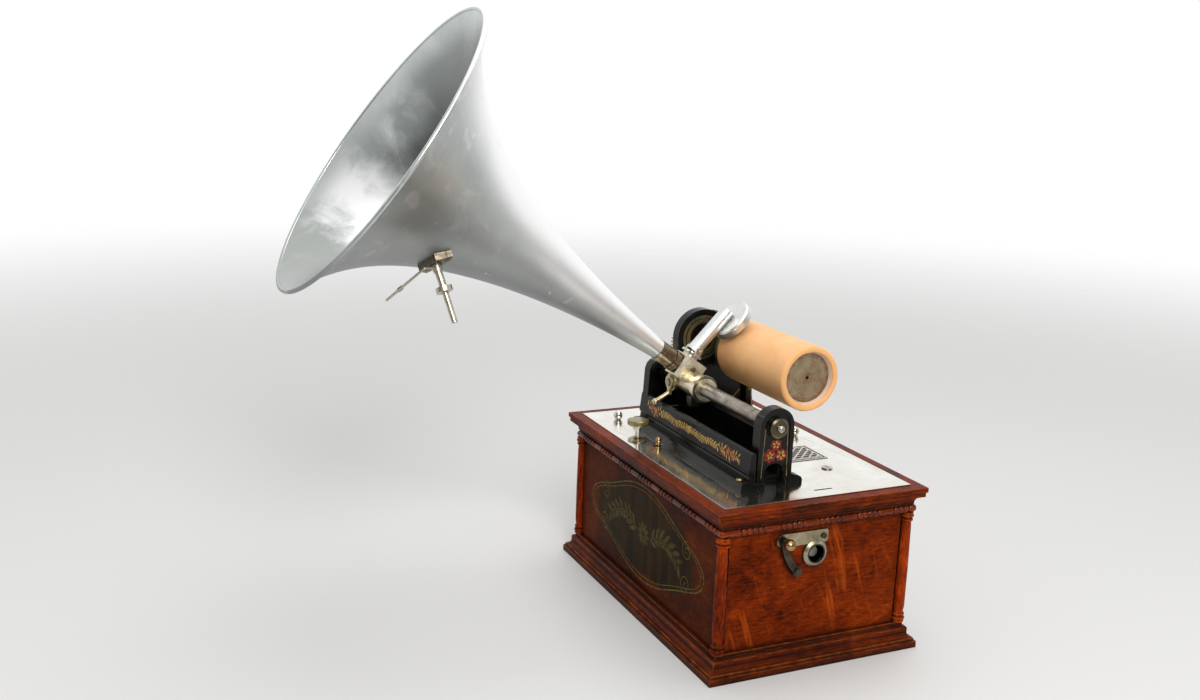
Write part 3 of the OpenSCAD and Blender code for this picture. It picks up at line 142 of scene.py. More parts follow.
floor_radius, fade_from, fade_to = 5.0, 0.7, 2.6
floor_mesh = bpy.data.meshes.new("floor")
floor_form = bmesh.new()
bmesh.ops.create_circle(floor_form, cap_ends=True, segments=96, radius=floor_radius)
floor_form.to_mesh(floor_mesh)
floor_form.free()
floor = show(bpy.data.objects.new("floor", floor_mesh))
pale = bpy.data.materials.new("pale_floor")
pale.use_nodes = True
tree = pale.node_tree
tree.nodes.clear()
fade = smooth(tree, vectors(tree, "LENGTH", object_place(tree)), fade_from, fade_to)
ground = put(tree, "ShaderNodeBsdfPrincipled", {"Base Color": (0.66, 0.66, 0.655, 1), "Roughness": 0.6})
away = put(tree, "ShaderNodeBsdfTransparent")
veil = put(tree, "ShaderNodeMixShader", {0: fade, 1: ground.outputs[0], 2: away.outputs[0]})
put(tree, "ShaderNodeOutputMaterial", {0: veil.outputs[0]})
floor_mesh.materials.append(pale)

# The case: quarter-sawn oak boards, stained red-brown and shellacked, glued and mitred
# under run mouldings, with a turned column set into a square recess at each corner.
half_long, half_deep, panel_mid = 0.1315, 0.084, 0.068
field_wide, field_tall = 0.108, 0.043
quarter_turn = math.pi / 2
bare_oak, dirt_and_shade, shade_and_polish_black = (0.50, 0.130, 0.028), (0.014, 0.006, 0.004), (0.012, 0.0045, 0.0025)


def ramp(tree, factor, *stops):
    """Colours spread along a value, each at its own place from 0 to 1."""
    made = put(tree, "ShaderNodeValToRGB", {0: factor})
    first, last = made.color_ramp.elements
    first.position, first.color = stops[0][0], (*stops[0][1], 1)
    last.position, last.color = stops[-1][0], (*stops[-1][1], 1)
    for at, colour in stops[1:-1]:
        made.color_ramp.elements.new(at).color = (*colour, 1)
    return made.outputs[0]


def mix(tree, factor, a, b, how="MIX"):
    colours = {key: value if isinstance(value, bpy.types.NodeSocket) else (*value, 1)
               for key, value in ((6, a), (7, b))}
    return put(tree, "ShaderNodeMix", {0: factor, **colours}, data_type="RGBA", blend_type=how).outputs[2]


def noise(tree, place, scale, stretch=(1, 1, 1), detail=3.0, rough=0.55, warp=0.0, turn=(0, 0, 0)):
    at = put(tree, "ShaderNodeMapping", {"Vector": place, "Scale": stretch, "Rotation": turn}).outputs[0]
    return put(tree, "ShaderNodeTexNoise", {
        "Vector": at, "Scale": scale, "Detail": detail, "Roughness": rough, "Distortion": warp}).outputs[0]


def turned(tree, place, turn):
    return put(tree, "ShaderNodeMapping", {"Vector": place, "Rotation": turn}).outputs[0]


def node_group(family, name, takes, gives):
    """An empty node group: inputs by their kind or their first value, outputs by their kind."""
    made = bpy.data.node_groups.new(name, family + "NodeTree")
    for label, start in takes.items():
        kind = {int: "Int", float: "Float"}.get(type(start), start)
        socket = made.interface.new_socket(label, in_out="INPUT", socket_type="NodeSocket" + kind)
        if kind != start:
            socket.default_value = start
    for label, kind in gives.items():
        made.interface.new_socket(label, in_out="OUTPUT", socket_type="NodeSocket" + kind)
    return made, put(made, "NodeGroupInput").outputs


# Darkening dulls the stain: old varnish, and on the front panel painted shade too.
oak_figure, given = node_group(
    "Shader", "oak_figure", {"Along grain": "Vector", "Flecks": "Float", "Age": "Float"},
    {"Colour": "Color", "Height": "Float", "Roughness": "Float"})
tree, along = oak_figure, given["Along grain"]
fibre = noise(tree, along, 1.0, (120, 480, 480), 5.0, 0.68, 0.3)
tone = noise(tree, along, 1.0, (15, 19, 19), 5.0, 0.62, 0.8)
pores = span(tree, noise(tree, along, 1.0, (190, 1300, 1300), 2.0), 0.52, 0.64)
rays = noise(tree, turned(tree, along, (0, -0.33, 0)), 1.0, (135, 16, 16), 2.0, 0.5, 0.7)
flecked = span(tree, noise(tree, along, 15.0, detail=1.0), 0.44, 0.58)
fleck = times(tree, times(tree, span(tree, rays, 0.575, 0.72), flecked), given["Flecks"])
mottle = sums(tree, "MULTIPLY_ADD", fibre, 0.42, times(tree, tone, 0.58))
stain = ramp(tree, mottle, (0.37, (0.032, 0.0036, 0.0004)), (0.46, (0.110, 0.0118, 0.0005)),
             (0.56, (0.212, 0.0255, 0.0008)), (0.66, (0.350, 0.0530, 0.0018)))
stain = mix(tree, times(tree, pores, 0.5), stain, (0.040, 0.0060, 0.0008))
stain = mix(tree, times(tree, fleck, 0.62), stain, (0.520, 0.0880, 0.0045))
dimmed_stain = mix(tree, 1.0, stain, (0.20, 0.30, 0.40), "MULTIPLY")
darkened_tone = mix(tree, 0.35, dimmed_stain, (0.034, 0.0120, 0.0045))
put(tree, "NodeGroupOutput", {
    "Colour": mix(tree, given["Age"], stain, darkened_tone),
    "Height": sums(tree, "SUBTRACT", fibre, times(tree, pores, 0.6)),
    "Roughness": span(tree, tone, 0.2, 0.8, 0.30, 0.44)})

rubbed_edges, given = node_group(
    "Shader", "rubbed_edges", {"Reach": "Float", "Hollow": "Float"}, {"Mask": "Float", "Crevice": "Float"})
tree = rubbed_edges
rounded = put(tree, "ShaderNodeBevel", {"Radius": given["Reach"]}, samples=6).outputs[0]
facing = put(tree, "ShaderNodeNewGeometry").outputs["Normal"]
edge = span(tree, vectors(tree, "DOT_PRODUCT", rounded, facing), 0.995, 0.80)
spots = noise(tree, object_place(tree), 120.0, detail=4.0, rough=0.5)
worn = times(tree, edge, span(tree, spots, 0.38, 0.62, 0.15, 1.0))
# Crevice: hollows found by ambient occlusion, to be darkened as painted shade.
open_to_air = put(tree, "ShaderNodeAmbientOcclusion", {"Distance": given["Hollow"]}, samples=6).outputs["AO"]
put(tree, "NodeGroupOutput", {
    "Mask": times(tree, worn, span(tree, open_to_air, 0.45, 0.75)),
    "Crevice": span(tree, open_to_air, 0.48, 0.92, 1.0, 0.0)})


def placed(tree, effect, **inputs):
    """A shared effect, placed with its own values."""
    values = {label.replace("_", " "): value for label, value in inputs.items()}
    return put(tree, "ShaderNodeGroup", values, node_tree=effect).outputs


def material(name, **constants):
    """A material whose constant sockets are set by name, its tree and its Object coordinates."""
    made = bpy.data.materials.new(name)
    made.use_nodes = True
    tree = made.node_tree
    for label, value in constants.items():
        tree.nodes["Principled BSDF"].inputs[label.replace("_", " ")].default_value = value
    return made, tree, object_place(tree)


def feed(made, **sockets):
    """Links what varies over the surface to the material's Principled shader."""
    tree = made.node_tree
    for label, value in sockets.items():
        tree.links.new(value, tree.nodes["Principled BSDF"].inputs[label.replace("_", " ")])
    return made


def bump(tree, height, depth, strength):
    return put(tree, "ShaderNodeBump", {"Height": height, "Distance": depth, "Strength": strength}).outputs[0]


def oak(name, turn=(0, 0, 0), flecks=1.0, age_and_shade=0.0, wear=0.6, mitred=False, field=None, hollow=0.012,
        shadow=0.8, gloss=0.03, matt=1.0):
    """Shellacked oak whose grain runs along X after the turn, or round the case if mitred."""
    made, tree, place = material(
        name, Coat_Weight=gloss * 0.25, Coat_Roughness=0.25, Specular_IOR_Level=gloss)
    grain = turned(tree, place, turn)
    if mitred:
        x, y, z = parts(tree, place)
        past_end = sums(tree, "SUBTRACT", sums(tree, "ABSOLUTE", x), half_long)
        past_side = sums(tree, "SUBTRACT", sums(tree, "ABSOLUTE", y), half_deep)
        on_end = sums(tree, "GREATER_THAN", past_end, past_side)
        crossed = turned(tree, place, (0, 0, quarter_turn))
        grain = put(tree, "ShaderNodeMix", {0: on_end, 4: grain, 5: crossed}, data_type="VECTOR").outputs[1]
    figure = placed(tree, oak_figure, Along_grain=grain, Flecks=flecks, Age=age_and_shade)
    edges = placed(tree, rubbed_edges, Reach=0.0011, Hollow=hollow)
    colour = figure["Colour"]
    if field:
        colour = field(tree, place, colour)
    colour = mix(tree, times(tree, edges["Mask"], wear), colour, bare_oak)
    # Hollows darkened towards near black: old dirt, and painted shade where shade falls.
    colour = mix(tree, times(tree, edges["Crevice"], shadow), colour, dirt_and_shade)
    return feed(made, Base_Color=colour, Roughness=times(tree, figure["Roughness"], matt),
                Normal=bump(tree, figure["Height"], 0.0002, 0.35))


def dress(node, finish, crease=30, soften=0.0):
    """Gives a CAD piece its finish, shades its curves smooth and rounds its arrises."""
    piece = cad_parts[node]
    piece.data.materials.clear()
    piece.data.materials.append(finish)
    for face in piece.data.polygons:
        face.use_smooth = True
    piece.modifiers.new("weld", "WELD").merge_threshold = 0.000002
    if soften:
        arris = piece.modifiers.new("arris", "BEVEL")
        arris.width, arris.segments, arris.limit_method = soften, 2, "ANGLE"
        arris.angle_limit = math.radians(40)
    piece.modifiers.new("creases", "EDGE_SPLIT").split_angle = math.radians(crease)
    if soften:
        piece.modifiers.new("flats", "WEIGHTED_NORMAL").keep_sharp = True


def dark_field(tree, place, colour):
    """The smoked green-black ground behind the gilding, fading towards its edges."""
    x, y, z = parts(tree, place)
    u = sums(tree, "DIVIDE", x, field_wide)
    v = sums(tree, "DIVIDE", sums(tree, "SUBTRACT", z, panel_mid), field_tall)
    reach = sums(tree, "ADD", sums(tree, "POWER", sums(tree, "ABSOLUTE", u), 2.6), times(tree, v, v))
    ragged = sums(tree, "MULTIPLY_ADD", noise(tree, place, 60.0, (1, 1, 3)), 0.5, reach)
    smoke = ramp(tree, noise(tree, place, 1.0, (90, 90, 14), 3.0, 0.6, 0.6),
                 (0.36, (0.0085, 0.0075, 0.0028)), (0.66, (0.034, 0.0205, 0.0048)))
    return mix(tree, span(tree, ragged, 0.85, 1.0, 0.88, 0.0), colour, smoke)


def lighter(tree, place, colour):
    return mix(tree, 1.0, colour, (1.55, 1.45, 1.2), "MULTIPLY")


def quirk_shade_and_polish(*levels):
    """Painted shade and old polish along the quirks of a moulding, each a height and a reach."""
    def field(tree, place, colour):
        height = parts(tree, place)["Z"]
        uneven = span(tree, noise(tree, place, 34.0, detail=4.0), 0.32, 0.58, 0.45, 1.0)
        for level, reach in levels:
            off = sums(tree, "ABSOLUTE", sums(tree, "SUBTRACT", height, level))
            near = span(tree, off, reach * 0.3, reach, 0.95, 0.0)
            colour = mix(tree, times(tree, near, uneven), colour, shade_and_polish_black)
        return colour
    return field


# Painted shade with old polish in the quirks of the base and the cornice.
base_quirks = quirk_shade_and_polish((0.0006, 0.0012), (0.0064, 0.0012), (0.0120, 0.0014), (0.0182, 0.0019))
cornice_quirks = quirk_shade_and_polish((0.1322, 0.0009), (0.1284, 0.0009), (0.1226, 0.0016))
# The front panel's oak is darkened most: old varnish with painted shade, as it is turned from the light.
dress("front_panel", oak("oak_front", flecks=0.25, age_and_shade=0.72, field=dark_field, gloss=0.02))
dress("back_panel", oak("oak_back", flecks=0.6, age_and_shade=0.3))
dress("left_panel", oak("oak_left", (0, 0, quarter_turn), flecks=0.9, age_and_shade=0.1))
dress("right_panel", oak("oak_right", (0, 0, quarter_turn)))
dress("base_moulding", oak("oak_base", flecks=0.1, age_and_shade=0.45, wear=1.0, mitred=True, hollow=0.009,
                           gloss=0.05, field=base_quirks), soften=0.0004)
dress("cornice_moulding", oak("oak_cornice", flecks=0.1, age_and_shade=0.12, wear=1.0, mitred=True, hollow=0.006,
                              gloss=0.05, field=cornice_quirks), soften=0.0004)
dress("bead_moulding", oak("oak_beads", flecks=0.0, age_and_shade=0.06, wear=1.0, mitred=True, hollow=0.004,
                           shadow=1.0, gloss=0.22, matt=0.4))
dress("corner_columns", oak("oak_columns", (0, quarter_turn, 0), flecks=0.2, wear=1.0, field=lighter,
                            hollow=0.003, gloss=0.05, matt=0.7))
dress("bottom_board", oak("oak_underside", flecks=0.2, age_and_shade=0.5, wear=0.2))


# The panel's gilding: worn gold paint on a smoked ground, a cartouche of double lines with
# scrolls and a garland of leaves round a rosette, laid on by hand.
def geometry_tree(name, **sizes):
    """An empty Geometry Nodes tree with named inputs for its sizes and its finish."""
    sizes = {label.replace("_", " "): start for label, start in sizes.items()}
    return node_group("Geometry", name, {"Geometry": "Geometry", **sizes, "Finish": "Material"},
                      {"Geometry": "Geometry"})


def realized(tree, geometry, given):
    """Closes a tree: its instances made real and given their finish."""
    solid = put(tree, "GeometryNodeRealizeInstances", {"Geometry": geometry}).outputs[0]
    solid = put(tree, "GeometryNodeSetMaterial", {"Geometry": solid, "Material": given["Finish"]}).outputs[0]
    put(tree, "NodeGroupOutput", {"Geometry": solid})


def drawing(lines):
    """Points in mm joined along each line; a line of one point is a lone point."""
    mesh = bpy.data.meshes.new("drawing")
    points, joins = [], []
    for line in lines:
        start = len(points)
        points += [(x * 0.001, y * 0.001, 0) for x, y in line]
        joins += [(start + i, start + i + 1) for i in range(len(line) - 1)]
        if len(line) > 2 and line[0] == line[-1]:
            points.pop()
            joins[-1] = (joins[-1][0], start)
    mesh.from_pydata(points, joins, [])
    return mesh


def grown(tree, lines, place, **sizes):
    """Runs a tree on a drawing and gives the result as a plain mesh, set in its place."""
    holder = show(bpy.data.objects.new("drawing", drawing(lines)))
    work = holder.modifiers.new("work", "NODES")
    work.node_group = tree
    names = {item.name.replace(" ", "_"): item.identifier for item in tree.interface.items_tree
             if item.item_type == "SOCKET" and item.in_out == "INPUT"}
    for label, value in sizes.items():
        work[names[label]] = value
    graph = bpy.context.evaluated_depsgraph_get()
    mesh = bpy.data.meshes.new_from_object(
        holder.evaluated_get(graph), preserve_all_data_layers=True, depsgraph=graph)
    bpy.data.objects.remove(holder)
    mesh.transform(place)
    return mesh


def gathered(name, meshes, body, sharp=50):
    """One piece from several meshes, each keeping its finish, riding on a body."""
    form = bmesh.new()
    finishes = []
    for mesh in meshes:
        first = len(form.faces)
        form.from_mesh(mesh)
        form.faces.ensure_lookup_table()
        for face in form.faces[first:]:
            face.material_index = len(finishes)
            face.smooth = True
        finishes.append(next(finish for finish in mesh.materials if finish))
    whole = bpy.data.meshes.new(name)
    form.to_mesh(whole)
    form.free()
    for finish in finishes:
        whole.materials.append(finish)
    whole.set_sharp_from_angle(angle=math.radians(sharp))
    piece = show(bpy.data.objects.new(name, whole))
    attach(piece, body)
    return piece


def join(tree, x=0.0, y=0.0, z=0.0):
    """A vector from its X, Y and Z."""
    return put(tree, "ShaderNodeCombineXYZ", {0: x, 1: y, 2: z}).outputs[0]


def position(tree):
    return put(tree, "GeometryNodeInputPosition").outputs[0]


gilt_lines, given = geometry_tree("gilt_lines", Width=0.0006, Rise=0.00012)
tree = gilt_lines
path = put(tree, "GeometryNodeMeshToCurve", {"Mesh": given["Geometry"]}).outputs[0]
half_width = times(tree, given["Width"], 0.5)
round_brush = put(tree, "GeometryNodeCurvePrimitiveCircle", {
    "Resolution": 8, "Radius": half_width}).outputs["Curve"]
stroke = put(tree, "GeometryNodeCurveToMesh", {
    "Curve": path, "Profile Curve": round_brush, "Fill Caps": True}).outputs[0]
pressed = join(tree, 1.0, 1.0, sums(tree, "DIVIDE", given["Rise"], half_width))
stroke = put(tree, "GeometryNodeTransform", {"Geometry": stroke, "Scale": pressed}).outputs[0]
realized(tree, stroke, given)


def leaf_form(tree, length, width, rise):
    """A small pointed leaf lying along X with its root at the origin."""
    bead = put(tree, "GeometryNodeMeshIcoSphere", {"Radius": 1.0, "Subdivisions": 2}).outputs[0]
    x, y, z = parts(tree, position(tree))
    taper = sums(tree, "MULTIPLY_ADD", times(tree, x, x), -0.55, 1.0)
    spot = join(tree, times(tree, sums(tree, "ADD", x, 1.0), times(tree, length, 0.5)),
                times(tree, times(tree, y, taper), times(tree, width, 0.5)), times(tree, z, rise))
    return put(tree, "GeometryNodeSetPosition", {"Geometry": bead, "Position": spot}).outputs[0]


def turned_to(tree, way, extra=None):
    """A rotation whose X lies along a direction in the plane, turned on by an extra angle."""
    turn = put(tree, "FunctionNodeAlignRotationToVector", {"Vector": way}, axis="X").outputs[0]
    if extra is not None:
        more = put(tree, "FunctionNodeAxisAngleToRotation", {"Axis": (0, 0, 1), "Angle": extra}).outputs[0]
        turn = put(tree, "FunctionNodeRotateRotation", {"Rotation": turn, "Rotate By": more},
                   rotation_space="LOCAL").outputs[0]
    return turn


def varied(tree, low, high, seed):
    return put(tree, "FunctionNodeRandomValue", {2: low, 3: high, "Seed": seed}, data_type="FLOAT").outputs[1]


leaf_runs, given = geometry_tree("leaf_runs", Spacing=0.004, Leaf_length=0.005, Leaf_width=0.002,
                                 Lean=0.8, Rise=0.00015, Seed=3)
tree = leaf_runs
path = put(tree, "GeometryNodeMeshToCurve", {"Mesh": given["Geometry"]}).outputs[0]
steps = put(tree, "GeometryNodeCurveToPoints", {
    "Curve": path, "Length": given["Spacing"]}, mode="LENGTH").outputs
side = sums(tree, "MODULO", put(tree, "GeometryNodeInputIndex").outputs[0], 2.0)
lean = times(tree, sums(tree, "MULTIPLY_ADD", side, -2.0, 1.0), given["Lean"])
leaves = put(tree, "GeometryNodeInstanceOnPoints", {
    "Points": steps["Points"], "Rotation": turned_to(tree, steps["Tangent"], lean),
    "Instance": leaf_form(tree, given["Leaf length"], given["Leaf width"], given["Rise"]),
    "Scale": varied(tree, 0.88, 1.08, given["Seed"])}).outputs[0]
realized(tree, leaves, given)

blossoms, given = geometry_tree("blossoms", Petals=6, Petal_length=0.003, Petal_width=0.0026,
                                Inner=0.0005, Rise=0.00018, Seed=5)
tree = blossoms
ring = put(tree, "GeometryNodeMeshCircle", {"Vertices": given["Petals"], "Radius": given["Inner"]}).outputs[0]
flower = put(tree, "GeometryNodeInstanceOnPoints", {
    "Points": ring, "Rotation": turned_to(tree, position(tree)),
    "Instance": leaf_form(tree, given["Petal length"], given["Petal width"], given["Rise"])}).outputs[0]
flowers = put(tree, "GeometryNodeInstanceOnPoints", {
    "Points": given["Geometry"], "Instance": flower,
    "Rotation": join(tree, z=varied(tree, 0.0, 1.0, given["Seed"])),
    "Scale": varied(tree, 0.85, 1.1, given["Seed"])}).outputs[0]
realized(tree, flowers, given)


def gold_paint(name, bright, dim, shine, gloss=0.3):
    """Bronze powder in varnish, rubbed thin in spots."""
    made, tree, place = material(name, Metallic=shine, Specular_IOR_Level=gloss)
    rubbed = noise(tree, place, 420.0, detail=5.0, rough=0.65)
    return feed(made, Base_Color=ramp(tree, rubbed, (0.36, dim), (0.60, bright)),
                Roughness=span(tree, rubbed, 0.3, 0.7, 0.55, 0.36),
                Normal=bump(tree, rubbed, 0.00004, 0.3))


def scroll(centre, wide, start, turns, hand, steps=44):
    """A spiral that winds in to its centre."""
    line = []
    for i in range(steps + 1):
        reach = wide * (1 - 0.88 * i / steps)
        angle = start + hand * turns * 2 * math.pi * i / steps
        line.append((centre[0] + reach * math.cos(angle), centre[1] + reach * math.sin(angle)))
    return line


def cartouche(wide, tall, steps=140):
    """A long oval drawn in at four places, closed on its first point."""
    line = []
    for i in range(steps):
        a = 2 * math.pi * i / steps
        line.append((wide * math.cos(a) * (1 + 0.05 * math.cos(4 * a)),
                     tall * math.sin(a) * (1 + 0.12 * math.cos(4 * a))))
    return line + line[:1]


on_panel = Matrix(((1, 0, 0, 0), (0, 0, -1, -half_deep), (0, 1, 0, panel_mid), (0, 0, 0, 1)))
panel_gold = gold_paint("panel_gold", (0.165, 0.115, 0.020), (0.048, 0.034, 0.008), 0.0, 0.04)
dim_gold = gold_paint("dim_gold", (0.082, 0.060, 0.014), (0.030, 0.022, 0.006), 0.0, 0.04)
curls = [scroll((side * 77, rise * 14), 8.5, quarter_turn * (1 - rise) + quarter_turn, 1.6, side * rise)
         for side in (-1, 1) for rise in (-1, 1)]
laurels = [[(side * (13 + 50 * t), 9 * math.sin(math.pi * t) - 2 * t) for t in (i / 40 for i in range(41))]
           for side in (-1, 1)]
gathered("panel_gilding", [
    grown(gilt_lines, [cartouche(101, 37)], on_panel, Width=0.0011, Finish=panel_gold),
    grown(gilt_lines, [cartouche(96.5, 33.4)] + curls, on_panel, Width=0.0007, Finish=panel_gold),
    grown(gilt_lines, laurels, on_panel, Width=0.0009, Finish=dim_gold),
    grown(leaf_runs, laurels, on_panel, Spacing=0.0036, Leaf_length=0.0128, Leaf_width=0.0046, Lean=0.72,
          Finish=dim_gold),
    grown(blossoms, [[(0, 0)]], on_panel, Petals=10, Petal_length=0.0095, Petal_width=0.0044,
          Inner=0.0018, Finish=dim_gold)], "case")

# The winding end: a nickel ring let into the panel, a bar plate beside it, and a dark
# curved iron arm with a brass ball that swings over to hold the crank.
key_axis = (-0.002, 0.0915)
tarnish, given = node_group(
    "Shader", "tarnish", {"Place": "Vector", "Size": "Float"}, {"Patches": "Float", "Scratches": "Float"})
cloud = noise(tarnish, given["Place"], given["Size"], detail=6.0, rough=0.65, warp=0.6)
hair = noise(tarnish, given["Place"], 1.0, (2200, 90, 900), 2.0, 0.5, 0.8, (0.4, 0.7, 0.3))
put(tarnish, "NodeGroupOutput", {
    "Patches": span(tarnish, cloud, 0.36, 0.68), "Scratches": span(tarnish, hair, 0.60, 0.74)})


def metal(name, clean, stained, rough, size, worn=None, hollow=0.25, field=None):
    """Bare or plated metal: stained in patches, scuffed, brighter where handled, with painted
    shade in its hollows, and a field of its own marks where one is given."""
    made, tree, place = material(name, Metallic=1.0)
    skin = placed(tree, tarnish, Place=place, Size=size)
    edges = placed(tree, rubbed_edges, Reach=0.0006, Hollow=0.004)
    colour = mix(tree, skin["Patches"], clean, stained)
    if field:
        colour = field(tree, place, colour)
    if worn:
        colour = mix(tree, edges["Mask"], colour, worn)
    # Painted shade: the hollows darken towards a third of the stained colour.
    colour = mix(tree, times(tree, edges["Crevice"], hollow), colour, tuple(c * 0.3 for c in stained))
    dull = span(tree, skin["Patches"], 0.0, 1.0, *rough)
    uneven = sums(tree, "ADD", skin["Scratches"], skin["Patches"])
    return feed(made, Base_Color=colour, Normal=bump(tree, uneven, 0.00004, 0.3),
                Roughness=sums(tree, "MULTIPLY_ADD", skin["Scratches"], 0.12, dull))


def off_axis(tree, place, axis):
    """How far a place lies from a line along X, which is given by its Y and Z."""
    away = vectors(tree, "SUBTRACT", place, (0, *axis))
    return vectors(tree, "LENGTH", vectors(tree, "MULTIPLY", away, (0, 1, 1)))


def painted_cup_shade(tree, place, colour):
    """Painted shade, near black, inside the lip of the hole that the crank enters."""
    radius = off_axis(tree, place, key_axis)
    return mix(tree, span(tree, radius, 0.0076, 0.0084, 0.92, 0.0), colour, (0.014, 0.015, 0.010))


old_nickel = metal("old_nickel", (0.40, 0.35, 0.235), (0.20, 0.165, 0.095), (0.22, 0.42), 90.0,
                   (0.70, 0.65, 0.52))
brass_ball = metal("brass_ball", (0.56, 0.36, 0.15), (0.27, 0.16, 0.07), (0.18, 0.36), 140.0,
                   (0.72, 0.52, 0.26))
catch_iron = metal("catch_iron", (0.085, 0.075, 0.052), (0.036, 0.030, 0.020), (0.36, 0.55), 120.0,
                   (0.26, 0.23, 0.17))
dress("key_bushing", metal("bushing_nickel", (0.42, 0.385, 0.29), (0.22, 0.19, 0.125), (0.22, 0.42), 90.0,
                           field=painted_cup_shade))
dress("catch_plate", old_nickel, soften=0.0002)
dress("catch_screws", catch_iron, soften=0.0007)
dress("crank_catch", catch_iron, soften=0.0004)
dress("catch_knob", brass_ball)

# The bedplate: a sheet of polished nickel-plated iron let into the cornice, with two ball
# knobs to lift it by, hanger screws, and a plate etched with a lattice under the record.
polished, tree, place = material("polished_nickel", Metallic=1.0)
skin = placed(tree, tarnish, Place=place, Size=26.0)
freckle = span(tree, noise(tree, place, 330.0, detail=2.0), 0.68, 0.76)
cast = mix(tree, skin["Patches"], (0.90, 0.885, 0.84), (0.76, 0.73, 0.66))
cast = mix(tree, times(tree, freckle, 0.35), cast, (0.33, 0.25, 0.16))
dulled = sums(tree, "ADD", skin["Patches"], freckle)
feed(polished, Base_Color=cast, Roughness=span(tree, dulled, 0.0, 2.0, 0.10, 0.34),
     Normal=bump(tree, noise(tree, place, 14.0, detail=2.0), 0.0001, 0.1))
dress("bedplate", polished, soften=0.0002)
bright_nickel = metal("bright_nickel", (0.72, 0.69, 0.62), (0.52, 0.48, 0.40), (0.12, 0.24), 60.0)
dress("bedplate_knobs", bright_nickel)
dress("bedplate_screws", metal("screw_nickel", (0.72, 0.69, 0.62), (0.42, 0.37, 0.29), (0.16, 0.34), 160.0))
plate_mid, lattice_pitch, lattice_edge = (0.0365, 0.0415), 0.0155, 0.0135
border_inner, border_outer, border_blur = 0.0145, 0.0165, 0.00025
etched, tree, place = material("etched_plate", Metallic=1.0)
x, y, z = parts(tree, place)
across, over = (sums(tree, "ABSOLUTE", sums(tree, "SUBTRACT", way, mid)) for way, mid in zip((x, y), plate_mid))
rim = sums(tree, "MAXIMUM", across, over)
border = times(tree, span(tree, rim, border_inner, border_inner + border_blur),
               span(tree, rim, border_outer, border_outer - border_blur))
wave_x, wave_y = (times(tree, way, 2 * math.pi / lattice_pitch) for way in (x, y))
weave = times(tree, sums(tree, "SINE", sums(tree, "ADD", wave_x, wave_y)),
              sums(tree, "SINE", sums(tree, "SUBTRACT", wave_x, wave_y)))
wear = noise(tree, place, 240.0, detail=4.0)
bitten = sums(tree, "MULTIPLY_ADD", wear, 0.3, sums(tree, "ABSOLUTE", weave))
bitten = times(tree, span(tree, bitten, 0.28, 0.42, 0.0, 0.95), sums(tree, "LESS_THAN", rim, lattice_edge))
ink = sums(tree, "MAXIMUM", border, bitten)
feed(etched, Base_Color=mix(tree, ink, (0.74, 0.71, 0.64), (0.055, 0.05, 0.04)),
     Roughness=span(tree, ink, 0.0, 1.0, 0.22, 0.6), Normal=bump(tree, ink, 0.00008, -0.4))
dress("data_plate", etched)


# The bed: one iron casting with a floor, a moulded front rail, two standards and a round
# gear guard, stoved black, the guard's dish bronzed in a ring.
def black_enamel(name, ring=None):
    """Stoved black enamel over iron, thin along the edges. A bronzed ring has an axis, an
    inner and an outer radius, and an X that it lies in front of."""
    made, tree, place = material(name, Coat_Weight=0.06, Coat_Roughness=0.1, Specular_IOR_Level=0.16)
    skin = placed(tree, tarnish, Place=place, Size=45.0)
    edges = placed(tree, rubbed_edges, Reach=0.0006, Hollow=0.004)
    colour = mix(tree, skin["Patches"], (0.0030, 0.0034, 0.0030), (0.0074, 0.0086, 0.0072))
    colour = mix(tree, times(tree, edges["Mask"], 0.55), colour, (0.105, 0.095, 0.080))
    if ring:
        axis, inner, outer, behind = ring
        radius = off_axis(tree, place, axis)
        band = times(tree, sums(tree, "GREATER_THAN", radius, inner), sums(tree, "LESS_THAN", radius, outer))
        band = times(tree, band, sums(tree, "GREATER_THAN", parts(tree, place)["X"], behind))
        bronze = mix(tree, skin["Patches"], (0.34, 0.335, 0.20), (0.16, 0.155, 0.085))
        colour = mix(tree, band, colour, bronze)
        feed(made, Metallic=times(tree, band, 0.85))
    return feed(made, Base_Color=colour, Roughness=span(tree, skin["Patches"], 0.0, 1.0, 0.14, 0.30),
                Normal=bump(tree, noise(tree, place, 300.0), 0.00008, 0.15))


guard_ring = ((0.008, 0.2155), 0.0118, 0.0203, -0.0815)
dress("bed_casting", black_enamel("bed_enamel", guard_ring), soften=0.0005)

# The bed's decoration: gold lines on both standards, gold leaves along the rail, and red
# flowers on the rail and the right standard, painted by hand under a clear varnish.
bed_gold = gold_paint("bed_gold", (0.560, 0.360, 0.085), (0.235, 0.140, 0.034), 0.5)
old_gold = gold_paint("old_gold", (0.300, 0.205, 0.070), (0.085, 0.058, 0.022), 0.3)
flower_red = gold_paint("flower_red", (0.235, 0.018, 0.007), (0.080, 0.008, 0.004), 0.0)


def on_upright(x):
    """Sets a drawing in Y and Z on a standard's face."""
    return Matrix(((0, 0, 1, x), (1, 0, 0, 0), (0, 1, 0, 0), (0, 0, 0, 1)))


def flower_work(place, centres, size):
    """Red petals under a smaller ring of gold ones at each centre."""
    heads = [[centre] for centre in centres]
    return [grown(blossoms, heads, place, Petals=7, Petal_length=size, Petal_width=size * 0.8,
                  Inner=size * 0.12, Finish=flower_red),
            grown(blossoms, heads, place, Petals=5, Petal_length=size * 0.66, Petal_width=size * 0.42,
                  Inner=size * 0.14, Rise=0.0003, Seed=8, Finish=bed_gold)]


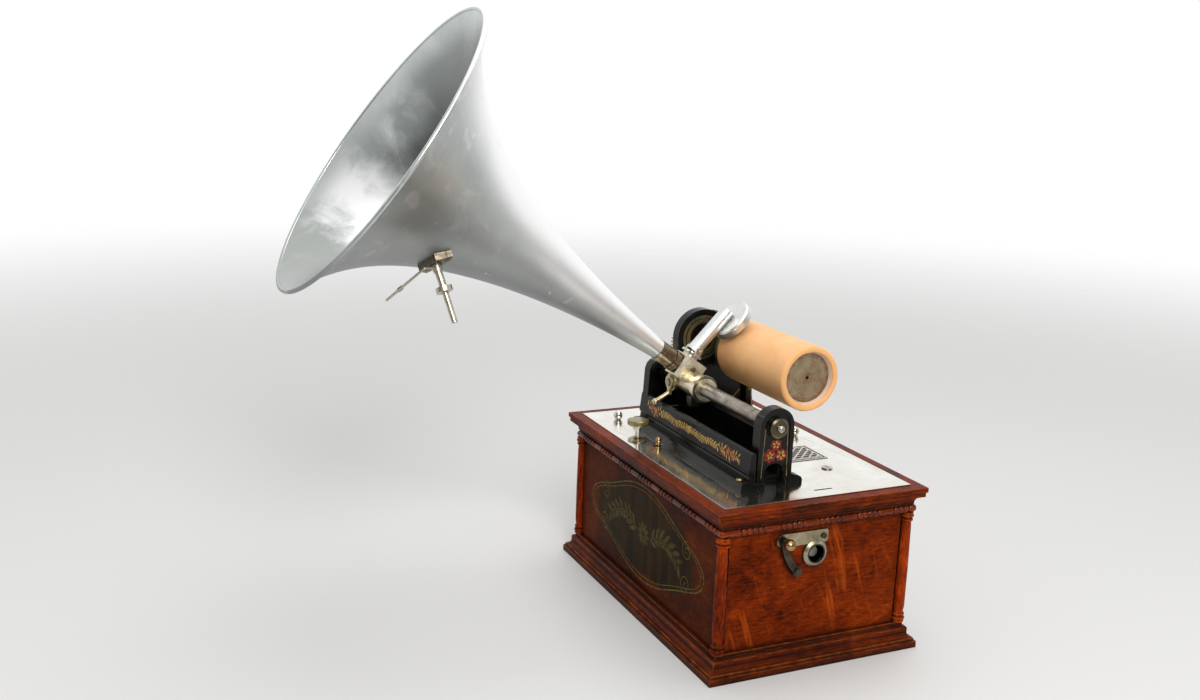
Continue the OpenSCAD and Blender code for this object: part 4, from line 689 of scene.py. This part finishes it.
on_right = on_upright(0.0988)
pinstripes = [[(-32.4, 184), (-34.1, 144)], [(-12.2, 184), (-10.8, 144)]]
bunch = [(-22.0, 170.6), (-27.0, 162.0), (-17.0, 161.8)]
gathered("standard_gilding", [
    grown(gilt_lines, pinstripes, on_right, Width=0.0007, Finish=old_gold)]
    + flower_work(on_right, bunch, 0.0050), "case")
face_line = [(58.6, 162.2), (60.4, 163.6), (61.6, 162.4), (62.3, 157), (63.2, 146)]
recess_line = [(-34, 152), (43.2, 152), (53.0, 162.7)]
gathered("left_gilding", [
    grown(gilt_lines, [face_line], on_upright(-0.0780), Width=0.0009, Finish=bed_gold),
    grown(gilt_lines, [recess_line], on_upright(-0.0835), Width=0.0009, Finish=bed_gold)], "case")


def wave(x0, x1, tall, cycles, steps=72):
    return [(x0 + (x1 - x0) * i / steps, tall * math.sin(2 * math.pi * cycles * i / steps))
            for i in range(steps + 1)]


rail_mid, along_rail = (0, -0.0465, 0.1569), Vector((1, 0, 0))
rail_up = Vector((0, 0.0018, 0.0148)).normalized()
on_rail = Matrix.Translation(rail_mid) @ Matrix(
    (along_rail, rail_up, along_rail.cross(rail_up))).transposed().to_4x4()
bands = [wave(2, end, 0.7, 1.5) for end in (-46, 50)]
posies = [(-66, 0.6), (-58.5, -1.2), (60, -0.6), (68, 1.2), (76.5, -1.0)]
sprays = [wave(-75, -50, 1.6, 1.2), wave(53, 85, 1.6, 1.4)]
gathered("rail_gilding", [
    grown(gilt_lines, bands, on_rail, Width=0.0007, Finish=bed_gold),
    grown(leaf_runs, bands, on_rail, Spacing=0.0019, Leaf_length=0.0052, Leaf_width=0.0020, Lean=0.66,
          Finish=bed_gold),
    grown(blossoms, [[(2, 0)]], on_rail, Petals=8, Petal_length=0.0036, Petal_width=0.0020, Finish=bed_gold),
    grown(leaf_runs, sprays, on_rail, Spacing=0.0019, Leaf_length=0.0055, Leaf_width=0.0020, Lean=1.0,
          Finish=bed_gold)]
    + flower_work(on_rail, posies, 0.0038), "case")


# The bed's fittings: brass screws, the steel guide tube held by a brass nut with a steel
# centre, and the brass gears behind the guard that turn the feed screw in the tube.
def rusty_end(tree, place, colour):
    """Rust in spots on the guide tube, towards the right standard."""
    spots = span(tree, noise(tree, place, 120.0, detail=5.0), 0.36, 0.60)
    rust = times(tree, span(tree, parts(tree, place)["X"], 0.030, 0.075), spots)
    return mix(tree, times(tree, rust, 0.8), colour, (0.175, 0.110, 0.070))


aged_brass = metal("aged_brass", (0.42, 0.29, 0.12), (0.19, 0.125, 0.055), (0.24, 0.46), 110.0,
                   (0.62, 0.45, 0.22))
gear_brass = metal("gear_brass", (0.46, 0.33, 0.13), (0.24, 0.17, 0.07), (0.26, 0.46), 90.0,
                   (0.62, 0.47, 0.22))
dull_steel = metal("dull_steel", (0.30, 0.285, 0.26), (0.15, 0.125, 0.10), (0.28, 0.52), 70.0,
                   (0.50, 0.48, 0.45))
dress("bed_screws", aged_brass)
dress("tube_nut", metal("nut_brass", (0.130, 0.110, 0.065), (0.070, 0.058, 0.034), (0.26, 0.42), 120.0,
                        (0.34, 0.29, 0.17)))
dress("tube_pivot", metal("pivot_steel", (0.52, 0.50, 0.46), (0.30, 0.28, 0.25), (0.12, 0.3), 160.0))
dress("guide_tube", metal("tube_steel", (0.47, 0.455, 0.41), (0.20, 0.165, 0.125), (0.26, 0.46), 55.0,
                          (0.60, 0.58, 0.53), field=rusty_end))
dress("feed_screw", dull_steel)
for wheel in ("feed_gear", "idler_gear", "mandrel_gear"):
    dress(wheel, gear_brass, crease=25)
dress("idler_stud", dull_steel)

# The mandrel: a tapered drum turned from steel on a long shaft, with the belt pulley on
# the far end, enamelled black.
mandrel_axis = (0.0368, 0.207)


def scored(tree, place, colour):
    """Fine rings left by the lathe, and rust round the centre and the rim."""
    radius = off_axis(tree, place, mandrel_axis)
    score = noise(tree, join(tree, radius), 1400.0, detail=4.0, rough=0.7)
    colour = mix(tree, span(tree, score, 0.44, 0.68, 0.0, 0.6), colour, (0.58, 0.48, 0.31))
    rust = sums(tree, "MAXIMUM", span(tree, radius, 0.0075, 0.003), span(tree, radius, 0.0165, 0.0195))
    rust = times(tree, rust, span(tree, noise(tree, place, 230.0, detail=4.0), 0.40, 0.62))
    return mix(tree, times(tree, rust, 0.75), colour, (0.27, 0.115, 0.050))


dress("mandrel", metal("mandrel_steel", (0.40, 0.330, 0.210), (0.270, 0.150, 0.080), (0.38, 0.52), 90.0,
                       (0.48, 0.38, 0.26), field=scored))
dress("mandrel_shaft", dull_steel)
dress("mandrel_pulley", black_enamel("black_enamel"))

# The belt: a flat strip of worn leather, its ends lapped and glued into a loop that runs
# down from the mandrel's pulley to the motor's.
belt_hide, tree, place = material("belt_hide", Sheen_Weight=0.1)
creases = noise(tree, place, 260.0, (3, 1, 1), 5.0, 0.65, 0.6)
feed(belt_hide, Base_Color=ramp(tree, creases, (0.3, (0.020, 0.011, 0.006)), (0.7, (0.085, 0.045, 0.022))),
     Roughness=span(tree, creases, 0.0, 1.0, 0.5, 0.75), Normal=bump(tree, creases, 0.0003, 0.5))
dress("drive_belt", belt_hide, soften=0.0003)

# The record: a hollow cylinder of brown wax moulded on a tapered core, its rims rounded
# and paler, its outside cut with a groove too fine to see singly.
bore_edge, groove_pitch = 0.0222, 0.0006
wax, tree, place = material("brown_wax", Subsurface_Weight=0.12, Subsurface_Scale=0.002,
                            Subsurface_Radius=(1.0, 0.45, 0.2), Specular_IOR_Level=0.35)
along = parts(tree, place)["X"]
bloom = noise(tree, place, 38.0, (0.6, 1, 1), 5.0, 0.6, 0.5)
body_wax = ramp(tree, bloom, (0.30, (0.78, 0.395, 0.155)), (0.70, (0.92, 0.540, 0.255)))
at_end = smooth(tree, along, 0.0500, 0.0524)
body_wax = mix(tree, times(tree, at_end, 0.85), body_wax, (0.90, 0.480, 0.190))
in_bore = sums(tree, "LESS_THAN", off_axis(tree, place, mandrel_axis), bore_edge)
body_wax = mix(tree, in_bore, body_wax, (0.80, 0.60, 0.48))
groove = sums(tree, "SINE", times(tree, along, 2 * math.pi / groove_pitch))
feed(wax, Base_Color=body_wax, Roughness=span(tree, bloom, 0.0, 1.0, 0.36, 0.52),
     Normal=bump(tree, sums(tree, "MULTIPLY_ADD", groove, 0.10, bloom), 0.00006, 0.3))


def arc(radius, height, bend, start, end, steps):
    """A profile's rounded corner."""
    angles = [math.radians(start + (end - start) * i / steps) for i in range(steps + 1)]
    return [(radius + bend * math.cos(a), height + bend * math.sin(a)) for a in angles]


outside, length, wide, narrow, turns = 0.02775, 0.107, 0.0234, 0.0207, 128
foot, shoulder, lip = 0.0012, 0.0026, 0.0016
taper_top = length - 0.006
outline = arc(outside - foot, foot, foot, -90, 0, 5) + [(outside, length * k / 12) for k in range(1, 12)]
outline += arc(outside - shoulder, length - shoulder, shoulder, 0, 90, 7)
outline += arc(narrow + 2 * lip, length - lip, lip, 90, 180, 5)
outline += [(narrow + 0.0006, length - 0.0030), (narrow + 0.00015, taper_top)]
outline += [(narrow + 0.0001 + (wide - narrow) * k / 8, taper_top - taper_top * k / 8) for k in range(1, 9)]
on_mandrel = Matrix.Translation((-0.0543, *mandrel_axis)) @ Matrix.Rotation(quarter_turn, 4, "Y")
form = bmesh.new()
rings = [[form.verts.new(on_mandrel @ Vector((radius * math.cos(a), radius * math.sin(a), height)))
          for a in (2 * math.pi * i / turns for i in range(turns))] for radius, height in outline]
for ring, after in zip(rings, rings[1:] + rings[:1]):
    for i in range(turns):
        j = (i + 1) % turns
        form.faces.new((ring[i], ring[j], after[j], after[i]))
bmesh.ops.recalc_face_normals(form, faces=form.faces)
turned_wax = bpy.data.meshes.new("turned_wax")
form.to_mesh(turned_wax)
form.free()
turned_wax.materials.append(wax)
record = gathered("wax_record", [turned_wax], "record", 35)
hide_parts("record")


# The carriage: a nickel-plated sleeve on the guide tube with a block that carries the horn
# and the reproducer, and a brass lever that lifts the reproducer and drops the half nut.
def turned_rings(tree, place, colour):
    """Painted shade with old oil in the quirks between the rings turned on the sleeve's end."""
    along = parts(tree, place)["X"]
    for quirk, reach in ((-0.0248, 0.0006), (-0.0208, 0.0009), (-0.0160, 0.0005)):
        off = sums(tree, "ABSOLUTE", sums(tree, "SUBTRACT", along, quirk))
        colour = mix(tree, span(tree, off, reach * 0.5, reach, 0.85, 0.0), colour, (0.10, 0.085, 0.055))
    return colour


dress("carriage", metal("carriage_nickel", (0.90, 0.82, 0.64), (0.62, 0.545, 0.385), (0.26, 0.40), 90.0,
                        (0.95, 0.92, 0.84), hollow=0.35, field=turned_rings), soften=0.0003)
dress("carriage_screw", dull_steel)
dress("lever_screw", old_nickel)
dress("reproducer_collar", bright_nickel, soften=0.0002)
dress("lift_lever", metal("lever_brass", (0.68, 0.575, 0.385), (0.43, 0.35, 0.215), (0.36, 0.52), 150.0,
                          (0.78, 0.69, 0.50)), soften=0.0002)
dress("half_nut", dull_steel, soften=0.0002)

# The reproducer: a bright aluminium tube and disc, with a thin steel diaphragm on its
# underside and a small brass lever to the stylus.
dress("reproducer_body", metal("bright_aluminium", (0.80, 0.805, 0.79), (0.68, 0.69, 0.67), (0.36, 0.46),
                               70.0, hollow=0.3), soften=0.0003)
dress("diaphragm", dull_steel)
dress("stylus_lever", aged_brass)

# The horn: one sheet of aluminium spun over a former to an even flare, its rim rolled,
# slipped over a bronze ferrule that turns in the carriage, with an iron saddle, a nickel
# post and a bent prop under its bell.
swing, lift = math.radians(-3), math.radians(35.3)
horn_seat = Matrix.Translation((-0.044, -0.0369759, 0.2035331)) @ Matrix.Rotation(
    swing, 4, "Z") @ Matrix.Rotation(quarter_turn - lift, 4, "X")
horn_flare, given = geometry_tree(
    "horn_flare", Neck_radius=0.0084, Bell_radius=0.129, Length=0.294, Start=0.022, Wall=0.0011,
    Roll=0.0020, Growth=2.2, Turns=160, Stations=60)
tree = horn_flare
neck, bell, growth = given["Neck radius"], given["Bell radius"], given["Growth"]
weld = {"Distance": 0.00002}
sheet = put(tree, "GeometryNodeMeshGrid", {
    "Size X": 1.0, "Size Y": 1.0, "Vertices X": given["Stations"],
    "Vertices Y": sums(tree, "ADD", given["Turns"], 1.0)}).outputs["Mesh"]
x, y, z = parts(tree, position(tree))
along = sums(tree, "SUBTRACT", 1.0, sums(tree, "POWER", sums(tree, "SUBTRACT", 0.5, x), 1.3))
angle = times(tree, sums(tree, "ADD", y, 0.5), 2 * math.pi)
grows = sums(tree, "SUBTRACT", sums(tree, "EXPONENT", times(tree, along, growth)), 1.0)
grows = sums(tree, "DIVIDE", grows, sums(tree, "SUBTRACT", sums(tree, "EXPONENT", growth), 1.0))
opens = sums(tree, "MULTIPLY_ADD", grows, 0.8, times(tree, sums(tree, "POWER", along, 11.0), 0.2))
radius = sums(tree, "MULTIPLY_ADD", opens, sums(tree, "SUBTRACT", bell, neck), neck)
spot = join(tree, times(tree, radius, sums(tree, "COSINE", angle)),
            times(tree, radius, sums(tree, "SINE", angle)),
            sums(tree, "MULTIPLY_ADD", along, given["Length"], given["Start"]))
sheet = put(tree, "GeometryNodeSetPosition", {"Geometry": sheet, "Position": spot}).outputs[0]
sheet = put(tree, "GeometryNodeMergeByDistance", {"Geometry": sheet, **weld}).outputs[0]
lining = put(tree, "GeometryNodeExtrudeMesh", {
    "Mesh": sheet, "Offset Scale": given["Wall"], "Individual": False}).outputs[0]
outside = put(tree, "GeometryNodeFlipFaces", {"Mesh": sheet}).outputs[0]
shell = put(tree, "GeometryNodeJoinGeometry")
for side in (outside, lining):
    tree.links.new(side, shell.inputs[0])
shell = put(tree, "GeometryNodeMergeByDistance", {"Geometry": shell.outputs[0], **weld}).outputs[0]
hoop = put(tree, "GeometryNodeCurvePrimitiveCircle", {"Resolution": given["Turns"], "Radius": bell}).outputs[0]
wire = put(tree, "GeometryNodeCurvePrimitiveCircle", {"Resolution": 14, "Radius": given["Roll"]}).outputs[0]
lip = put(tree, "GeometryNodeCurveToMesh", {"Curve": hoop, "Profile Curve": wire}).outputs[0]
at_bell = sums(tree, "ADD", given["Start"], sums(tree, "SUBTRACT", given["Length"], 0.0004))
lip = put(tree, "GeometryNodeTransform", {"Geometry": lip, "Translation": join(tree, z=at_bell)}).outputs[0]
whole = put(tree, "GeometryNodeJoinGeometry")
for part in (shell, lip):
    tree.links.new(part, whole.inputs[0])
realized(tree, whole.outputs[0], given)


def in_horn(tree, vector, seat=(0, 0, 0)):
    """A vector along the horn's own axes: Y is the upper side, Z runs out to the bell."""
    return put(tree, "ShaderNodeMapping", {
        "Vector": vector, "Location": seat, "Rotation": horn_seat.to_euler()}, vector_type="TEXTURE").outputs[0]


horn_metal, tree, place = material("spun_aluminium", Metallic=1.0)
place = in_horn(tree, place, horn_seat.translation)
facing = in_horn(tree, put(tree, "ShaderNodeTexCoord").outputs["Normal"])
skin = placed(tree, tarnish, Place=place, Size=11.0)
x, y, z = parts(tree, place)
around = join(tree, z=z)
spun = noise(tree, around, 700.0, detail=4.0, rough=0.7)
smear = noise(tree, place, 30.0, (1, 1, 0.35), 4.0, 0.6, 1.0)
outward = vectors(tree, "NORMALIZE", vectors(tree, "MULTIPLY", place, (1, 1, 0)))
upward = parts(tree, outward)["Y"]
inside = sums(tree, "LESS_THAN", vectors(tree, "DOT_PRODUCT", outward, facing), 0.0)
outer = sums(tree, "SUBTRACT", 1.0, inside)
colour = mix(tree, skin["Patches"], (0.565, 0.60, 0.59), (0.455, 0.485, 0.48))
# Painted highlight: the upper outside is lightened towards white where the light falls on it.
turned_up = sums(tree, "SUBTRACT", upward, span(tree, z, 0.12, 0.26, -0.3, 0.5))
painted_top_highlight = times(tree, smooth(tree, turned_up, -0.25, 0.4), outer)
colour = mix(tree, painted_top_highlight, colour, (0.97, 0.97, 0.97))
# Painted shade and dark reflection on the outer underside.
painted_underside_shade = times(tree, smooth(tree, upward, -0.4, -0.85), outer)
colour = mix(tree, times(tree, painted_underside_shade, 0.85), colour, (0.26, 0.265, 0.27))
# Painted shade on the lower part of the inside.
ragged = sums(tree, "MULTIPLY_ADD", smear, 0.08, sums(tree, "SUBTRACT", y, 0.04))
low = times(tree, smooth(tree, ragged, -0.05, -0.085, 0.0, 0.8), inside)
colour = mix(tree, low, colour, (0.41, 0.43, 0.41))
# Deep in the bell, a painted dark reflection beside a painted highlight.
painted_bell_patch = times(tree, smooth(tree, z, 0.317, 0.300), inside)
painted_bell_shade = smooth(tree, ragged, -0.01, 0.04, 0.0, 0.9)
colour = mix(tree, times(tree, painted_bell_patch, painted_bell_shade), colour, (0.22, 0.235, 0.225))
painted_bell_highlight = times(tree, smooth(tree, ragged, 0.005, -0.03), smooth(tree, ragged, -0.085, -0.045))
colour = mix(tree, times(tree, painted_bell_patch, painted_bell_highlight), colour, (0.97, 0.98, 0.97))
cloudy = times(tree, span(tree, smear, 0.58, 0.76), span(tree, inside, 0.0, 1.0, 0.5, 0.15))
scuffs = span(tree, noise(tree, place, 1.0, (75, 75, 150), 1.0, 0.5, 0.6), 0.735, 0.77, 0.0, 0.6)
rubs = span(tree, noise(tree, place, 1.0, (34, 34, 46), 1.0, 0.4), 0.70, 0.74, 0.0, 0.45)
for mark in (cloudy, times(tree, sums(tree, "MAXIMUM", scuffs, rubs), outer)):
    colour = mix(tree, mark, colour, (0.86, 0.86, 0.86))
dull = sums(tree, "MULTIPLY_ADD", inside, -0.12, span(tree, skin["Patches"], 0.0, 1.0, 0.34, 0.42))
dents = noise(tree, place, 34.0, detail=2.0)
ribs = times(tree, noise(tree, around, 150.0, detail=1.0), span(tree, z, 0.16, 0.05, 0.0, 0.12))
uneven = sums(tree, "ADD", ribs, sums(tree, "MULTIPLY_ADD", spun, 0.05, dents))
feed(horn_metal, Base_Color=colour, Roughness=sums(tree, "MULTIPLY_ADD", spun, 0.06, dull),
     Normal=bump(tree, uneven, 0.0016, 0.22))
horn = gathered("spun_horn", [
    grown(horn_flare, [[(0, 0)]], horn_seat, Finish=horn_metal)], "horn", 35)
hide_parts("horn")
dress("horn_ferrule", metal("ferrule_bronze", (0.27, 0.215, 0.135), (0.14, 0.105, 0.062), (0.24, 0.42), 120.0,
                            (0.46, 0.38, 0.25)))
dress("horn_saddle", metal("saddle_iron", (0.16, 0.135, 0.10), (0.07, 0.055, 0.04), (0.3, 0.5), 120.0,
                           (0.42, 0.36, 0.26)), soften=0.0003)
post_nickel = metal("post_nickel", (0.74, 0.69, 0.58), (0.46, 0.41, 0.31), (0.26, 0.42), 120.0,
                    (0.86, 0.82, 0.72))
dress("horn_pin", post_nickel, soften=0.0002)
dress("horn_strut", post_nickel)


# The controls: a knurled brass speed screw in a nickel bush, and the stop lever, whose
# small ball stands up through a slot in the bedplate.
def plated_shank(tree, place, colour, head=0.1512):
    """Nickel on the shank, below the screw's brass head."""
    under_head = sums(tree, "LESS_THAN", parts(tree, place)["Z"], head)
    return mix(tree, under_head, colour, (0.80, 0.77, 0.70))


speed_brass = metal("speed_brass", (0.40, 0.34, 0.17), (0.22, 0.185, 0.085), (0.22, 0.40), 120.0,
                    (0.58, 0.50, 0.29), field=plated_shank)
dress("speed_screw", speed_brass)
ridges, given = geometry_tree("ridges", Count=48, Radius=0.009, Ridge=0.0006, Height=0.003)
tree = ridges
rim = put(tree, "GeometryNodeMeshCircle", {"Vertices": given["Count"], "Radius": given["Radius"]}).outputs[0]
bar = put(tree, "GeometryNodeMeshCylinder", {
    "Vertices": 8, "Radius": times(tree, given["Ridge"], 0.5), "Depth": given["Height"]}).outputs[0]
bars = put(tree, "GeometryNodeInstanceOnPoints", {
    "Points": rim, "Instance": bar, "Rotation": turned_to(tree, position(tree))}).outputs[0]
realized(tree, bars, given)
on_head = Matrix.Translation((-0.0413, -0.0724, 0.1538))
gathered("speed_knurling", [
    grown(ridges, [[(0, 0)]], on_head, Count=52, Radius=0.00885, Ridge=0.0007, Height=0.0034,
          Finish=speed_brass)], "speed")
dress("speed_bush", old_nickel)
dress("stop_lever", brass_ball)
dress("stop_pivot", dull_steel)

# The motor: brass wheels between two iron plates hung from the bedplate, driven by a
# coiled spring in a barrel and held to speed by a governor with three weights.
for part in ("motor_plates", "winding_arbor", "mainspring", "governor"):
    dress(part, dull_steel)
for wheel in ("spring_barrel", "second_wheel", "drive_wheel", "governor_weights", "motor_pillars"):
    dress(wheel, gear_brass, crease=25)
